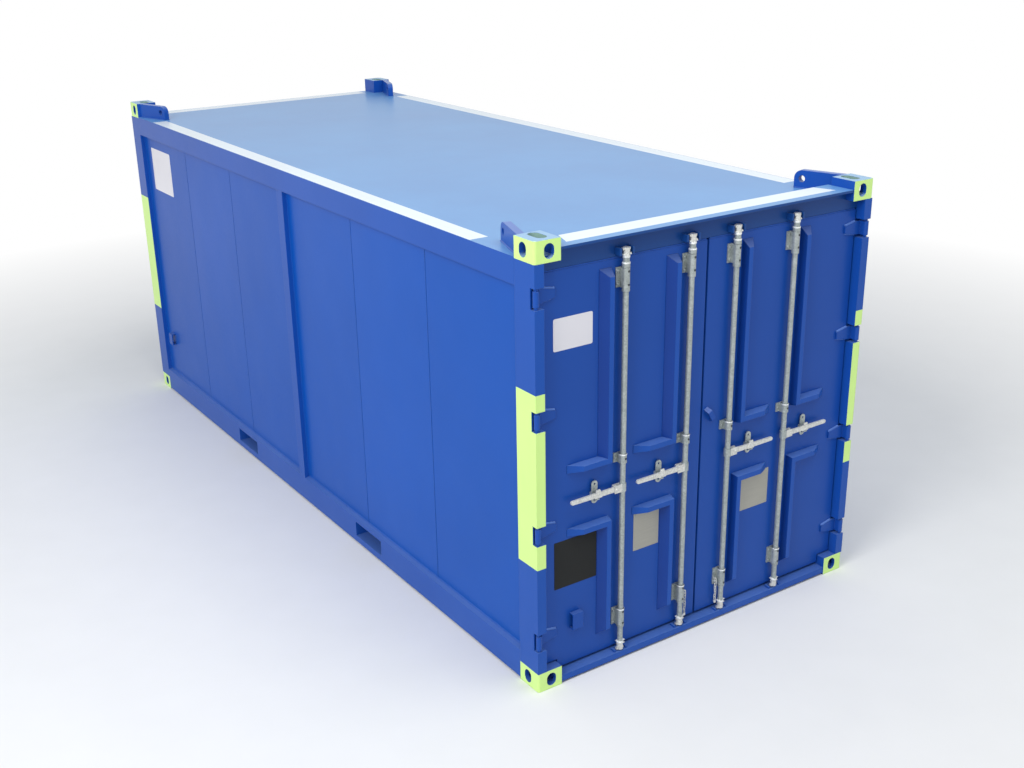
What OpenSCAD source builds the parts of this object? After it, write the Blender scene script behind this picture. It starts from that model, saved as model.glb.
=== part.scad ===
// Offshore dry cargo container: a steel box on eight corner castings, with lifting eyes,
// fork pockets and two outward opening doors held by four lock rods.
// X runs across the box, Y along it with the door end at -Y, and Z up from the ground.

/* [Overall] */
// Length over the corner castings
box_l = 6058; // [5000:1:9000]
// Width over the corner castings
box_w = 2438; // [2300:1:2600]
// Height over the corner castings
box_h = 2591; // [2400:1:2900]

/* [Corner castings] */
// Length of a casting along the box
casting_l = 178; // [165:1:190]
// Width of a casting across the box
casting_w = 162; // [150:1:175]
// Height of a casting
casting_h = 118; // [110:1:130]
// Wall of a casting
casting_wall = 28; // [22:1:32]
// Radius on the outer upright edge of a casting
casting_edge_r = 14; // [6:1:20]
// Distance of the slots' middle from the side of the box
casting_hole_x = 90; // [80:1:92]
// Distance of the slots' middle from the end of the box
casting_hole_y = 102; // [90:1:104]
// Length of the slot in the top or bottom face
aperture_l = 124; // [90:1:126]
// Width of the slot in the top or bottom face
aperture_w = 64; // [50:1:70]
// Height of the slots in the upright faces
side_slot_h = 79; // [60:1:84]
// Width of the slots in the upright faces
side_slot_w = 62; // [40:1:64]

/* [Lifting eyes] */
// Thickness of a lifting eye plate
padeye_t = 44; // [25:1:50]
// Length of a lifting eye plate from its casting
padeye_l = 318; // [240:1:380]
// Radius of the free upper corner
padeye_r = 50; // [36:1:60]
// Shackle hole
padeye_hole_d = 42; // [25:1:50]
// Height of the shackle hole above the rail
padeye_hole_z = 58; // [45:1:70]
// Angle of the plate away from the length of the box
padeye_angle = 19; // [5:1:30]
// Distance of the plate's root from the side of the box
padeye_inset = 44; // [34:1:60]

/* [Posts and rails] */
// Width of the door posts and the side rails
frame_w = 59; // [50:1:80]
// Width of a blind end post's face
rear_post_face = 90; // [60:1:150]
// Depth of the top side rail's face
top_rail_h = 148; // [100:1:180]
// Drop of the roof below the top of the castings
roof_drop = 111; // [90:1:117]
// Outer edge of a bottom rail's top above the ground
bottom_rail_top = 190; // [180:1:230]
// Rise of a bottom rail's top towards the wall
shelf_rise = 8; // [4:1:14]
// Gap between the rails and the ground
rail_lift = 12; // [6:1:20]
// Recess of the wall sheets behind the rails
wall_recess = 35; // [10:1:40]
// Thickness of the wall sheets
wall_t = 6; // [3:1:10]
// Thickness of the roof sheet
roof_t = 6; // [3:1:10]
// Width of the post half way along each side
mid_post_w = 90; // [60:1:140]

/* [Header and sill] */
// Drop of the header's top below the top of the castings
header_drop = 50; // [30:1:70]
// Height of the header's face over the doors
header_h = 127; // [110:1:150]
// Depth of the header from its face back to the roof
header_depth = 142; // [125:1:180]
// Thickness of the rain lip over the header
lip_t = 15; // [8:1:20]
// Recess of the lip's front edge
lip_recess = 4; // [0:1:10]
// Height of the sill's front edge
sill_front_z = 50; // [44:1:54]
// Top of the sill under the doors
sill_top = 55; // [54:1:70]

/* [Floor and fork pockets] */
// Thickness of the floor boards
floor_t = 26; // [18:1:28]
// Distance of a fork pocket from the middle of the box
pocket_y = 1025; // [700:1:1100]
// Width of a fork pocket
pocket_w = 360; // [250:1:380]
// Height of a fork pocket
pocket_h = 106; // [80:1:108]
// Bottom of the fork pocket above the ground
pocket_z = 58; // [26:1:60]
// Thickness of the fork pocket plates
pocket_t = 6; // [4:1:8]
// Width of a floor cross member
cross_w = 45; // [30:1:60]
// Cross members between a fork pocket and the end of the floor
cross_end_n = 3; // [1:1:5]
// Cross members between the two fork pockets
cross_mid_n = 4; // [1:1:6]

/* [Doors] */
// Recess of the door leaves behind the front of the castings
door_recess = 58; // [56:1:64]
// Thickness of a door leaf
leaf_t = 50; // [40:1:60]
// Running gap around a door leaf
leaf_gap = 9; // [9:1:12]
// Gap between a door leaf and the sill
leaf_foot_gap = 19; // [17:1:24]
// Gap between the two leaves
seam_gap = 14; // [13:1:20]
// Clearance that doors and locks keep while they move
swing_gap = 5; // [5:1:7]
// Thickness of the rubber round a leaf
gasket_t = 4; // [2:1:4]
// Depth of the rubber round a leaf
gasket_d = 20; // [12:1:30]
// Place of the seam between the leaves, across the box
seam_x = -20; // [-30:1:30]
// Width of the frame members round a leaf
stile_w = 90; // [70:1:120]
// Thickness of a door skin
skin_t = 6; // [4:1:8]
// Height of the door's cross rails
cross_rail_h = 80; // [50:1:110]

/* [Guard ridges] */
// Height of the guard ridges above the door
ridge_h = 48; // [30:1:54]
// Width of a ridge's crest
ridge_crest = 31; // [20:1:40]
// Run of a ridge's sloping side
ridge_slope = 38; // [20:1:44]
// Run of a ridge's steep side
ridge_steep = 9; // [3:1:14]
// Distance of a ridge's crest from its lock rod
ridge_off = 98; // [92:1:110]
// Length of a ridge's arm along the handle
ridge_arm = 262; // [200:1:280]
// Run of the slope at the far end of an arm
ridge_arm_end = 84; // [40:1:110]
// Run of the slope at the end of a leg
ridge_leg_end = 40; // [20:1:60]
// Gap between the lower ridges and the bottom of the box
ridge_foot_z = 190; // [120:1:220]
// Gap between the upper ridges and the top of the box
ridge_head_drop = 226; // [190:1:260]
// Distance of the upper arm's crest above the handle
ridge_up_gap = 186; // [160:1:220]
// Distance of the lower arm's crest below the handle
ridge_low_gap = 194; // [150:1:220]

/* [Hinges] */
// Diameter of a hinge pin
hinge_pin_d = 20; // [14:1:24]
// Diameter of a hinge barrel
hinge_barrel_d = 34; // [30:1:36]
// Height of a hinge barrel
hinge_h = 84; // [60:1:100]
// Free height above and below a barrel in its notch
hinge_notch_gap = 14; // [8:1:20]
// Thickness of a hinge strap
strap_t = 12; // [8:1:16]
// Reach of a strap over the door
strap_reach = 92; // [60:1:120]
// Height of a strap's end
strap_end_h = 44; // [20:1:50]
// Lowest hinge above the ground
hinge_low_z = 313; // [300:1:400]
// Highest hinge below the top of the castings
hinge_high_drop = 298; // [280:1:400]
// Hinges on each door
hinge_n = 4; // [3:1:5]
// Distance of a hinge pin from the side of the box
hinge_side = 19; // [18:1:20]
// Distance of a hinge pin from the front of the box
hinge_front = 17; // [17:1:19]
// Clearance between a pin or rod and its bearing
pin_gap = 0.3; // [0.1:0.1:0.8]

/* [Lock rods] */
// Diameter of a lock rod
rod_d = 32; // [26:1:34]
// Distance of an inner lock rod from the middle of the box
rod_inner_x = 165; // [150:1:220]
// Distance of an outer lock rod from the middle of the box
rod_outer_x = 622; // [580:1:660]
// Distance of a lock rod's axis from the door
rod_stand = 35; // [34:1:40]
// Drop of the rod's top end below the top of the castings
rod_top_drop = 124; // [115:1:135]
// Reach of a cam's prongs from the rod's axis
cam_reach = 28; // [24:1:28]
// Height of a cam
cam_h = 40; // [30:1:44]
// Thickness of a keeper's horns
keeper_t = 12; // [8:1:16]
// Height of the upper keepers' horns
keeper_h = 40; // [30:1:44]
// Gap between a cam and its keeper
keeper_gap = 8; // [8:1:11]
// Height of a long rod bearing
bearing_h = 108; // [80:1:140]
// Height of the middle rod bearing
mid_bearing_h = 55; // [30:1:70]
// Wall of a rod bearing's sleeve
sleeve_t = 5; // [3:0.5:5.5]
// Width of a bearing's foot plate
foot_w = 88; // [70:1:92]
// Thickness of a bearing's foot plate
foot_t = 8; // [5:1:10]
// Middle of the low rod bearing above the ground
bearing_low_z = 275; // [240:1:340]
// Middle of the high rod bearing below the top of the castings
bearing_high_drop = 287; // [270:1:340]
// Height of the middle bearing above the handle
bearing_mid_rise = 174; // [150:1:220]

/* [Handles] */
// Height of the handles above the ground
handle_z = 1102; // [1000:1:1250]
// Distance of a handle's pivot from its rod
handle_pivot = 50; // [44:1:56]
// Length of a handle from its pivot
handle_l = 310; // [260:1:330]
// Height of a handle's bar at its tip
handle_bar_h = 24; // [18:1:28]
// Height of a handle's bar beside its pivot
handle_root_h = 30; // [24:1:34]
// Thickness of the hub's front cheek
cheek_t = 5; // [3:1:5.5]
// Height of the hub that holds a handle
hub_h = 46; // [36:1:54]
// Height of the flap that covers a handle at its catch
flap_h = 50; // [34:1:60]
// Thickness of a handle
handle_t = 12; // [8:1:13]
// Diameter of a handle's pivot pin
handle_pin_d = 14; // [10:1:16]
// Distance of the catch from the rod
catch_x = 182; // [170:1:220]
// Width of a catch plate
catch_w = 40; // [28:1:46]
// Height of a catch plate above the handle's middle
catch_up = 80; // [60:1:90]
// Height of a catch plate below the handle's middle
catch_down = 56; // [52:1:64]
// Hole for a seal in the catch plate
seal_hole_d = 13; // [8:1:16]

/* [Small parts] */
// Width of the rope eyes
rope_eye_w = 72; // [50:1:90]
// Height of the rope eyes
rope_eye_h = 100; // [70:1:120]
// Stand of the rope eyes from the face that carries them
rope_eye_stand = 34; // [26:1:44]
// Strap thickness of the rope eyes
rope_eye_t = 8; // [5:1:10]
// Distance of the door's rope eye from the side of the box
rope_eye_side = 295; // [270:1:330]
// Middle of the door's rope eye above the ground
rope_eye_z = 350; // [300:1:420]
// Distance of the side rope eyes from the blind end
rope_eye_rear = 340; // [300:1:600]
// Middle of the side rope eyes above the ground
side_eye_z = 525; // [400:1:700]
// Length of the hand hold on the right door
hand_hold_l = 96; // [80:1:140]
// Width of the hand hold's strap
hand_hold_w = 30; // [20:1:36]
// Thickness of the hand hold's strap
hand_hold_t = 8; // [5:1:10]
// Angle of the hand hold's strap below level
hand_hold_tilt = 60; // [40:1:80]
// Height of the hand hold above the handles
hand_hold_rise = 264; // [200:1:300]

/* [Hidden] */

$fn = 48;
eps = 1;
paint_blue = "royalblue";
paint_lime = "greenyellow";
bare_zinc = "silver";
plywood = "peru";
black_rubber = "dimgray";

half_w = box_w / 2;
half_l = box_l / 2;
post_l = casting_l;
inner_l = box_l - 2 * casting_l;
roof_top = box_h - roof_drop;
rail_bottom = roof_top - top_rail_h;
floor_top = bottom_rail_top + shelf_rise;
wall_x = half_w - wall_recess;
opening_x = half_w - frame_w;
header_top = box_h - header_drop;
header_bottom = header_top - header_h;
leaf_y = -half_l + door_recess;
leaf_back_y = leaf_y + leaf_t;
threshold_y = leaf_back_y + leaf_gap;
header_face_y = leaf_y + 2;
header_back_y = header_face_y + header_depth;
leaf_x = opening_x - leaf_gap;
leaf_z0 = sill_top + leaf_foot_gap;
leaf_z1 = header_bottom - leaf_gap;
leaf_cut_x = half_w - casting_w - leaf_gap;
leaf_cut_z = casting_h + leaf_gap;
pocket_top = pocket_z + pocket_h;
hinge_x = half_w - hinge_side;
hinge_y = -half_l + hinge_front;
hinge_notch_h = hinge_h + 2 * hinge_notch_gap;
hinge_high_z = box_h - hinge_high_drop;
hinge_pitch = (hinge_high_z - hinge_low_z) / (hinge_n - 1);
rod_y = leaf_y - rod_stand;
rod_r = rod_d / 2;
rod_z0 = sill_top + swing_gap;
rod_z1 = box_h - rod_top_drop;
rod_places = [-rod_outer_x, -rod_inner_x, rod_inner_x, rod_outer_x];
bearing_high_z = box_h - bearing_high_drop;
bearing_mid_z = handle_z + bearing_mid_rise;
sleeve_r = rod_r + pin_gap + sleeve_t;
handle_back_y = rod_y + 2;
lug_t = 12;
lug_y = handle_back_y + pin_gap;

// Side of the box that a lock rod's handle points to
function handle_side(i) = i < 2 ? -1 : 1;

// A block between two opposite corners
module block(a, b) {
    translate([min(a.x, b.x), min(a.y, b.y), min(a.z, b.z)])
        cube([abs(b.x - a.x), abs(b.y - a.y), abs(b.z - a.z)]);
}

// A slot with round ends, long along Y, that cuts down through Z
module round_slot(length, width, depth) {
    run = (length - width) / 2;
    union() {
        translate([-width / 2, -run, 0]) cube([width, 2 * run, depth]);
        for (s = [-1, 1]) translate([0, s * run, 0]) cylinder(d = width, h = depth);
    }
}

// A shape at all four corners of the box, as seen from above
module at_corners() {
    for (x = [0, 1], y = [0, 1]) mirror([x, 0, 0]) mirror([0, y, 0]) children();
}

// A shape made for the left side, and its mirror image
module both_sides() {
    for (x = [0, 1]) mirror([x, 0, 0]) children();
}

// One top casting at the left door corner, hollow and slotted in its three outer faces
module casting() {
    cavity = [casting_w - 2 * casting_wall, casting_l - 2 * casting_wall, casting_h - 2 * casting_wall];
    translate([-half_w, -half_l, 0]) difference() {
        union() {
            translate([casting_edge_r, 0, 0]) cube([casting_w - casting_edge_r, casting_l, casting_h]);
            translate([0, casting_edge_r, 0]) cube([casting_w, casting_l - casting_edge_r, casting_h]);
            translate([casting_edge_r, casting_edge_r, 0]) cylinder(r = casting_edge_r, h = casting_h);
        }
        translate([casting_wall, casting_wall, casting_wall]) cube(cavity);
        translate([casting_hole_x, casting_hole_y, casting_wall + eps])
            round_slot(aperture_l, aperture_w, casting_h);
        translate([casting_hole_x, casting_wall + eps, casting_h / 2]) rotate([90, 0, 0])
            round_slot(side_slot_h, side_slot_w, casting_wall + 2 * eps);
        translate([-eps, casting_hole_y, casting_h / 2]) rotate([0, 90, 0]) rotate([0, 0, 90])
            round_slot(side_slot_h, side_slot_w, casting_wall + 2 * eps);
    }
}

module top_corner_castings() {
    color(paint_lime) at_corners() translate([0, 0, box_h - casting_h]) casting();
}

module bottom_corner_castings() {
    color(paint_lime) at_corners() translate([0, 0, casting_h]) mirror([0, 0, 1]) casting();
}

// Outline of a lifting eye from the side, with its root at the origin
module padeye_outline() {
    top = roof_drop - eps;
    difference() {
        union() {
            square([padeye_l - padeye_r, top]);
            square([padeye_l, top - padeye_r]);
            translate([padeye_l - padeye_r, top - padeye_r]) circle(r = padeye_r);
        }
        translate([padeye_l - padeye_r, padeye_hole_z]) circle(d = padeye_hole_d);
    }
}

module lifting_eyes() {
    root = [-half_w + padeye_inset, -half_l + casting_l, roof_top];
    color(paint_blue) at_corners() difference() {
        translate(root) rotate([0, 0, 90 - padeye_angle]) translate([-padeye_t, padeye_t / 2, 0])
            rotate([90, 0, 0]) union() {
                linear_extrude(padeye_t) translate([padeye_t, 0]) padeye_outline();
                linear_extrude(padeye_t) square([2 * padeye_t, roof_drop - eps]);
            }
        block([-half_w - casting_w, -half_l - casting_l, 0], [0, -half_l + casting_l, box_h + casting_h]);
    }
}

// Room in a door post for one hinge barrel and the swing of its strap
module hinge_notch() {
    side_depth = hinge_front + hinge_barrel_d / 2 + swing_gap + 1;
    strap_depth = door_recess + leaf_gap;
    translate([0, -hinge_front - eps, -hinge_notch_h / 2]) union() {
        translate([-hinge_side - eps, 0, 0]) cube([hinge_side + frame_w, side_depth + eps, hinge_notch_h]);
        translate([-hinge_barrel_d / 4, 0, 0]) cube([frame_w, strap_depth + eps, hinge_notch_h]);
    }
}

module door_post() {
    difference() {
        block([-half_w, -half_l, casting_h], [-opening_x, -half_l + post_l, box_h - casting_h]);
        for (i = [0 : hinge_n - 1])
            translate([-hinge_x, hinge_y, hinge_low_z + i * hinge_pitch]) hinge_notch();
    }
}

module door_posts() {
    color(paint_blue) both_sides() door_post();
}

module rear_corner_posts() {
    color(paint_blue) both_sides()
        block([-half_w, half_l - post_l, casting_h], [-half_w + rear_post_face, half_l, box_h - casting_h]);
}

// A profile drawn as distance in from the side of the box and height, run along the box
module along_side(profile, y0, y1) {
    translate([-half_w, y1, 0]) rotate([90, 0, 0]) linear_extrude(y1 - y0) polygon(profile);
}

// The same kind of profile, run across the blind end
module along_rear(profile, x0, x1) {
    translate([x0, half_l, 0]) rotate([90, 0, 90]) linear_extrude(x1 - x0) mirror([1, 0]) polygon(profile);
}

module mid_side_posts() {
    profile = [
        [0, bottom_rail_top],
        [wall_recess, floor_top],
        [wall_recess, rail_bottom],
        [0, rail_bottom]
    ];
    color(paint_blue) both_sides() along_side(profile, -mid_post_w / 2, mid_post_w / 2);
}

module top_side_rails() {
    color(paint_blue) both_sides()
        block([-half_w, -inner_l / 2, rail_bottom], [-opening_x, inner_l / 2, roof_top]);
}

// Section of a bottom rail, with a shelf that rises to the foot of the wall
function bottom_rail_section() = [
    [0, rail_lift],
    [0, bottom_rail_top],
    [wall_recess, floor_top],
    [frame_w, floor_top],
    [frame_w, rail_lift]
];

module bottom_side_rails() {
    color(paint_blue) both_sides() difference() {
        along_side(bottom_rail_section(), -inner_l / 2, inner_l / 2);
        for (s = [-1, 1]) translate([-half_w - eps, s * pocket_y - pocket_w / 2, pocket_z])
            cube([frame_w + 2 * eps, pocket_w, pocket_h]);
    }
}

module rear_top_rail() {
    color(paint_blue) union() {
        block([-half_w + rear_post_face, half_l - frame_w, rail_bottom],
              [half_w - rear_post_face, half_l, box_h - casting_h]);
        block([-half_w + casting_w, half_l - frame_w, rail_bottom],
              [half_w - casting_w, half_l, roof_top]);
    }
}

module rear_bottom_rail() {
    end = half_w - rear_post_face;
    color(paint_blue) difference() {
        along_rear(bottom_rail_section(), -end, end);
        both_sides() block([-half_w, half_l - casting_l, 0], [-half_w + casting_w, half_l + eps, casting_h]);
    }
}

// The header closes the box over the doors, under a lip that keeps rain off the cams
module door_header() {
    lip_y = -half_l + lip_recess;
    color(paint_blue) union() {
        block([-opening_x, header_face_y, header_bottom], [opening_x, header_back_y, box_h - casting_h]);
        block([-half_w + casting_w, header_face_y, header_bottom],
              [half_w - casting_w, header_back_y, header_top]);
        block([-half_w + casting_w, lip_y, header_top - lip_t],
              [half_w - casting_w, header_back_y, header_top]);
    }
}

// The sill's shelf slopes forward, and its threshold stops the leaves
module door_sill() {
    profile = [
        [-half_l + lip_recess, rail_lift],
        [-half_l + lip_recess, sill_front_z],
        [leaf_y, sill_top],
        [threshold_y, sill_top],
        [threshold_y, floor_top],
        [header_back_y, floor_top],
        [header_back_y, rail_lift]
    ];
    color(paint_blue) difference() {
        translate([-opening_x, 0, 0]) rotate([90, 0, 90]) linear_extrude(2 * opening_x) polygon(profile);
        both_sides() block([-half_w, -half_l - eps, 0], [-half_w + casting_w, -half_l + casting_l, casting_h]);
    }
}

module side_wall() {
    block([-wall_x, -inner_l / 2, floor_top], [-wall_x + wall_t, inner_l / 2, rail_bottom]);
}

module left_side_wall() {
    color(paint_blue) side_wall();
}

module right_side_wall() {
    color(paint_blue) mirror([1, 0, 0]) side_wall();
}

module end_wall() {
    color(paint_blue) block(
        [-half_w + rear_post_face, half_l - wall_recess - wall_t, floor_top],
        [half_w - rear_post_face, half_l - wall_recess, rail_bottom]);
}

// A sheet that fills the box between the rails, cut out round whatever stands in the rear corners
module inner_sheet(z0, z1, corner_w) {
    difference() {
        block([-opening_x, header_back_y, z0], [opening_x, half_l - frame_w, z1]);
        both_sides() block([-half_w, half_l - casting_l, z0 - eps], [-half_w + corner_w, half_l, z1 + eps]);
    }
}

module roof_sheet() {
    color(paint_blue) inner_sheet(roof_top - roof_t, roof_top, casting_w);
}

module floor_boards() {
    color(plywood) inner_sheet(floor_top - floor_t, floor_top, rear_post_face);
}

// Evenly spaced cross members between two places along the box
module cross_members(y0, y1, n) {
    pitch = (y1 - y0) / (n + 1);
    for (i = [1 : n]) block(
        [-opening_x, y0 + i * pitch - cross_w / 2, rail_lift + pocket_t],
        [opening_x, y0 + i * pitch + cross_w / 2, floor_top - floor_t]);
}

module floor_cross_members() {
    pocket_edge = pocket_w / 2 + pocket_t;
    color(paint_blue) union() {
        cross_members(header_back_y, -pocket_y - pocket_edge, cross_end_n);
        cross_members(-pocket_y + pocket_edge, pocket_y - pocket_edge, cross_mid_n);
        cross_members(pocket_y + pocket_edge, half_l - frame_w, cross_end_n);
    }
}

// Two tubes that run under the floor from one side rail to the other
module fork_pockets() {
    color(paint_blue) for (s = [-1, 1]) translate([0, s * pocket_y, 0]) difference() {
        block([-opening_x, -pocket_w / 2 - pocket_t, pocket_z - pocket_t],
              [opening_x, pocket_w / 2 + pocket_t, pocket_top + pocket_t]);
        block([-half_w, -pocket_w / 2, pocket_z], [half_w, pocket_w / 2, pocket_top]);
    }
}

// Two horns beside a cam, standing out from the header
module header_keepers() {
    inside = cam_reach + keeper_gap;
    color(paint_blue) for (x = rod_places, s = [-1, 1])
        block([x + s * inside, header_face_y, rod_z1 - keeper_h],
              [x + s * (inside + keeper_t), rod_y - cam_reach / 3, rod_z1]);
}

// Lower horns on the sill's sloping shelf, kept under the swing of the leaves
module sill_keepers() {
    inside = cam_reach + keeper_gap;
    slope = (sill_top - sill_front_z) / (door_recess - lip_recess);
    front = rod_y - cam_reach / 3;
    back = leaf_y - leaf_gap;
    front_z = sill_top - slope * (leaf_y - front);
    back_z = sill_top - slope * (leaf_y - back);
    top = leaf_z0 - gasket_t - swing_gap;
    color(paint_blue) for (x = rod_places, s = [-1, 1])
        translate([x + s * (inside + keeper_t / 2) - keeper_t / 2, 0, 0]) rotate([90, 0, 90])
            linear_extrude(keeper_t) polygon([[front, front_z], [back, back_z], [back, top], [front, top]]);
}

module hinge_pins() {
    color(bare_zinc) both_sides() for (i = [0 : hinge_n - 1])
        translate([-hinge_x, hinge_y, hinge_low_z + i * hinge_pitch])
            cylinder(d = hinge_pin_d, h = hinge_notch_h, center = true);
}

// A bent strap that stands off a face and leaves a gap for a rope behind it
module rope_eye() {
    rotate([90, 0, 90]) translate([0, 0, -rope_eye_w / 2]) linear_extrude(rope_eye_w) difference() {
        translate([0, -rope_eye_h / 2]) square([rope_eye_stand, rope_eye_h]);
        translate([-eps, -rope_eye_h / 2 + rope_eye_t])
            square([rope_eye_stand - rope_eye_t + eps, rope_eye_h - 2 * rope_eye_t]);
    }
}

module side_rope_eyes() {
    color(paint_blue) both_sides()
        translate([-wall_x, half_l - rope_eye_rear, side_eye_z]) rotate([0, 0, 90]) rope_eye();
}

// Place of a leaf's upright edge at the seam
function seam_edge(s) = seam_x + s * seam_gap / 2;

// Outline of a leaf from the front, grown by g and by gs at the seam, with its lower outer
// corner cut away round the casting
function leaf_outline(s, g, gs) = [
    [s * (leaf_x + g), leaf_z1 + g],
    [seam_edge(s) - s * gs, leaf_z1 + g],
    [seam_edge(s) - s * gs, leaf_z0 - g],
    [s * (leaf_cut_x + g), leaf_z0 - g],
    [s * (leaf_cut_x + g), leaf_cut_z - g],
    [s * (leaf_x + g), leaf_cut_z - g]
];

// A leaf is a framed pan: a skin in front, and a frame with two cross rails behind it
module door_leaf(s) {
    bay = (leaf_z1 - leaf_z0 - 2 * stile_w - 2 * cross_rail_h) / 3;
    hinge_edge = s * (leaf_x - stile_w);
    lock_edge = seam_edge(s) + s * stile_w;
    difference() {
        translate([0, leaf_back_y, 0]) rotate([90, 0, 0]) linear_extrude(leaf_t)
            polygon(leaf_outline(s, 0, 0));
        for (i = [0 : 2]) translate([0, 0, leaf_z0 + stile_w + i * (bay + cross_rail_h)])
            block([hinge_edge, leaf_y + skin_t, 0], [lock_edge, leaf_back_y + eps, bay]);
    }
}

module left_door_leaf() {
    color(paint_blue) door_leaf(-1);
}

module right_door_leaf() {
    color(paint_blue) door_leaf(1);
}

// A rubber seal round the back edge of a leaf
module door_gasket(s, at_seam) {
    translate([0, leaf_back_y, 0]) rotate([90, 0, 0]) linear_extrude(gasket_d) difference() {
        polygon(leaf_outline(s, gasket_t, at_seam));
        polygon(leaf_outline(s, 0, at_seam > 0 ? 0 : eps));
    }
}

module left_door_gasket() {
    color(black_rubber) door_gasket(-1, 0);
}

module right_door_gasket() {
    color(black_rubber) door_gasket(1, gasket_t);
}

// A ridge's section, from its steep side at the left to its sloping side at the right
function ridge_section(height) = [
    [-ridge_steep - ridge_crest / 2, 0],
    [-ridge_crest / 2, height],
    [ridge_crest / 2, height],
    [ridge_crest / 2 + ridge_slope, 0]
];

// One guard ridge: a leg beside the lock rod, and an arm that runs off along the handle.
// It lies on the XZ plane and stands out to -Y, with its corner at the origin, its leg up
// and its arm to +X.
module guard_ridge(leg) {
    union() {
        intersection() {
            translate([0, 0, -ridge_crest / 2 - ridge_steep])
                linear_extrude(leg + ridge_crest / 2 + ridge_steep) mirror([0, 1]) polygon(ridge_section(ridge_h));
            rotate([90, 0, 90]) linear_extrude(4 * ridge_arm, center = true) polygon([
                [0, -ridge_crest / 2 - ridge_steep],
                [-ridge_h, -ridge_crest / 2],
                [-ridge_h, leg - ridge_leg_end],
                [0, leg]
            ]);
        }
        intersection() {
            translate([-ridge_crest / 2, 0, 0]) rotate([90, 0, 90])
                linear_extrude(ridge_arm + ridge_crest / 2) polygon([
                    [0, -ridge_crest / 2 - ridge_steep],
                    [-ridge_h, -ridge_crest / 2],
                    [-ridge_h, ridge_crest / 2],
                    [0, ridge_crest / 2 + ridge_steep]
                ]);
            linear_extrude(4 * ridge_arm, center = true) polygon([
                [-ridge_crest, 0],
                [-ridge_crest, -ridge_h],
                [ridge_arm - ridge_arm_end, -ridge_h],
                [ridge_arm, 0]
            ]);
        }
    }
}

// The ridges beside two lock rods: an upper one with its arm above the handle, and a lower
// one with its arm below it. They are made for handles that point to +X.
module door_ridges(rods) {
    up_z = handle_z + ridge_up_gap;
    low_z = handle_z - ridge_low_gap;
    for (x = rods) {
        translate([x + ridge_off, leaf_y, up_z]) guard_ridge(box_h - ridge_head_drop - up_z);
        translate([x + ridge_off, leaf_y, low_z]) mirror([0, 0, 1]) guard_ridge(low_z - ridge_foot_z);
    }
}

module right_door_ridges() {
    color(paint_blue) door_ridges([rod_inner_x, rod_outer_x]);
}

module left_door_ridges() {
    color(paint_blue) mirror([1, 0, 0]) door_ridges([rod_inner_x, rod_outer_x]);
}

// A barrel on the pin with a strap that lies on the door, made for the left door
module hinge_leaf() {
    strap_y = leaf_y - hinge_y;
    strap_end = hinge_x - leaf_x + strap_reach;
    difference() {
        union() {
            cylinder(d = hinge_barrel_d, h = hinge_h, center = true);
            block([0, 0, -hinge_h / 2], [hinge_barrel_d / 2, strap_y, hinge_h / 2]);
            translate([0, strap_y, 0]) rotate([90, 0, 0]) linear_extrude(strap_t) polygon([
                [0, -hinge_h / 2],
                [hinge_barrel_d, -hinge_h / 2],
                [strap_end, -strap_end_h / 2],
                [strap_end, strap_end_h / 2],
                [hinge_barrel_d, hinge_h / 2],
                [0, hinge_h / 2]
            ]);
        }
        cylinder(d = hinge_pin_d + 2 * pin_gap, h = hinge_h + 2 * eps, center = true);
    }
}

module door_hinges() {
    for (i = [0 : hinge_n - 1])
        translate([-hinge_x, hinge_y, hinge_low_z + i * hinge_pitch]) hinge_leaf();
}

module left_door_hinges() {
    color(paint_blue) door_hinges();
}

module right_door_hinges() {
    color(paint_blue) mirror([1, 0, 0]) door_hinges();
}

// A sleeve round the rod, carried by two webs on a foot plate
module rod_bearing(height) {
    web = 8;
    difference() {
        union() {
            cylinder(r = sleeve_r, h = height, center = true);
            block([-sleeve_r, 0, -height / 2], [-sleeve_r + web, rod_stand, height / 2]);
            block([sleeve_r - web, 0, -height / 2], [sleeve_r, rod_stand, height / 2]);
            block([-foot_w / 2, rod_stand - foot_t, -height / 2], [foot_w / 2, rod_stand, height / 2]);
        }
        cylinder(r = rod_r + pin_gap, h = height + 2 * eps, center = true);
    }
}

module door_bearings(rods) {
    for (x = rods) translate([x, rod_y, 0]) {
        translate([0, 0, bearing_low_z]) rod_bearing(bearing_h);
        translate([0, 0, bearing_mid_z]) rod_bearing(mid_bearing_h);
        translate([0, 0, bearing_high_z]) rod_bearing(bearing_h);
    }
}

module left_door_bearings() {
    color(bare_zinc) door_bearings([-rod_outer_x, -rod_inner_x]);
}

module right_door_bearings() {
    color(bare_zinc) door_bearings([rod_inner_x, rod_outer_x]);
}

// A plate with round ends behind the handle, and a shelf that the handle lies on
module handle_catch() {
    plate_y = rod_stand - 12;
    plate_t = 6;
    shelf_z = -handle_root_h / 2 - swing_gap;
    shelf_t = 6;
    union() {
        translate([0, plate_y, 0]) rotate([90, 0, 0]) linear_extrude(plate_t) difference() {
            union() {
                translate([-catch_w / 2, -catch_down + catch_w / 2])
                    square([catch_w, catch_up + catch_down - catch_w]);
                translate([0, catch_up - catch_w / 2]) circle(d = catch_w);
                translate([0, -catch_down + catch_w / 2]) circle(d = catch_w);
            }
            translate([0, catch_up - catch_w / 2]) circle(d = seal_hole_d);
            translate([0, -catch_down + catch_w / 2]) circle(d = seal_hole_d);
        }
        block([-catch_w / 2, plate_y - plate_t, -handle_bar_h / 2],
              [catch_w / 2, rod_stand, handle_bar_h / 2]);
        block([-catch_w / 3, -handle_t, shelf_z - shelf_t],
              [catch_w / 3, plate_y, shelf_z]);
    }
}

module door_catches(rods, side) {
    for (x = rods) translate([x + side * catch_x, rod_y, handle_z]) handle_catch();
}

module left_door_catches() {
    color(bare_zinc) door_catches([-rod_outer_x, -rod_inner_x], -1);
}

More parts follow.
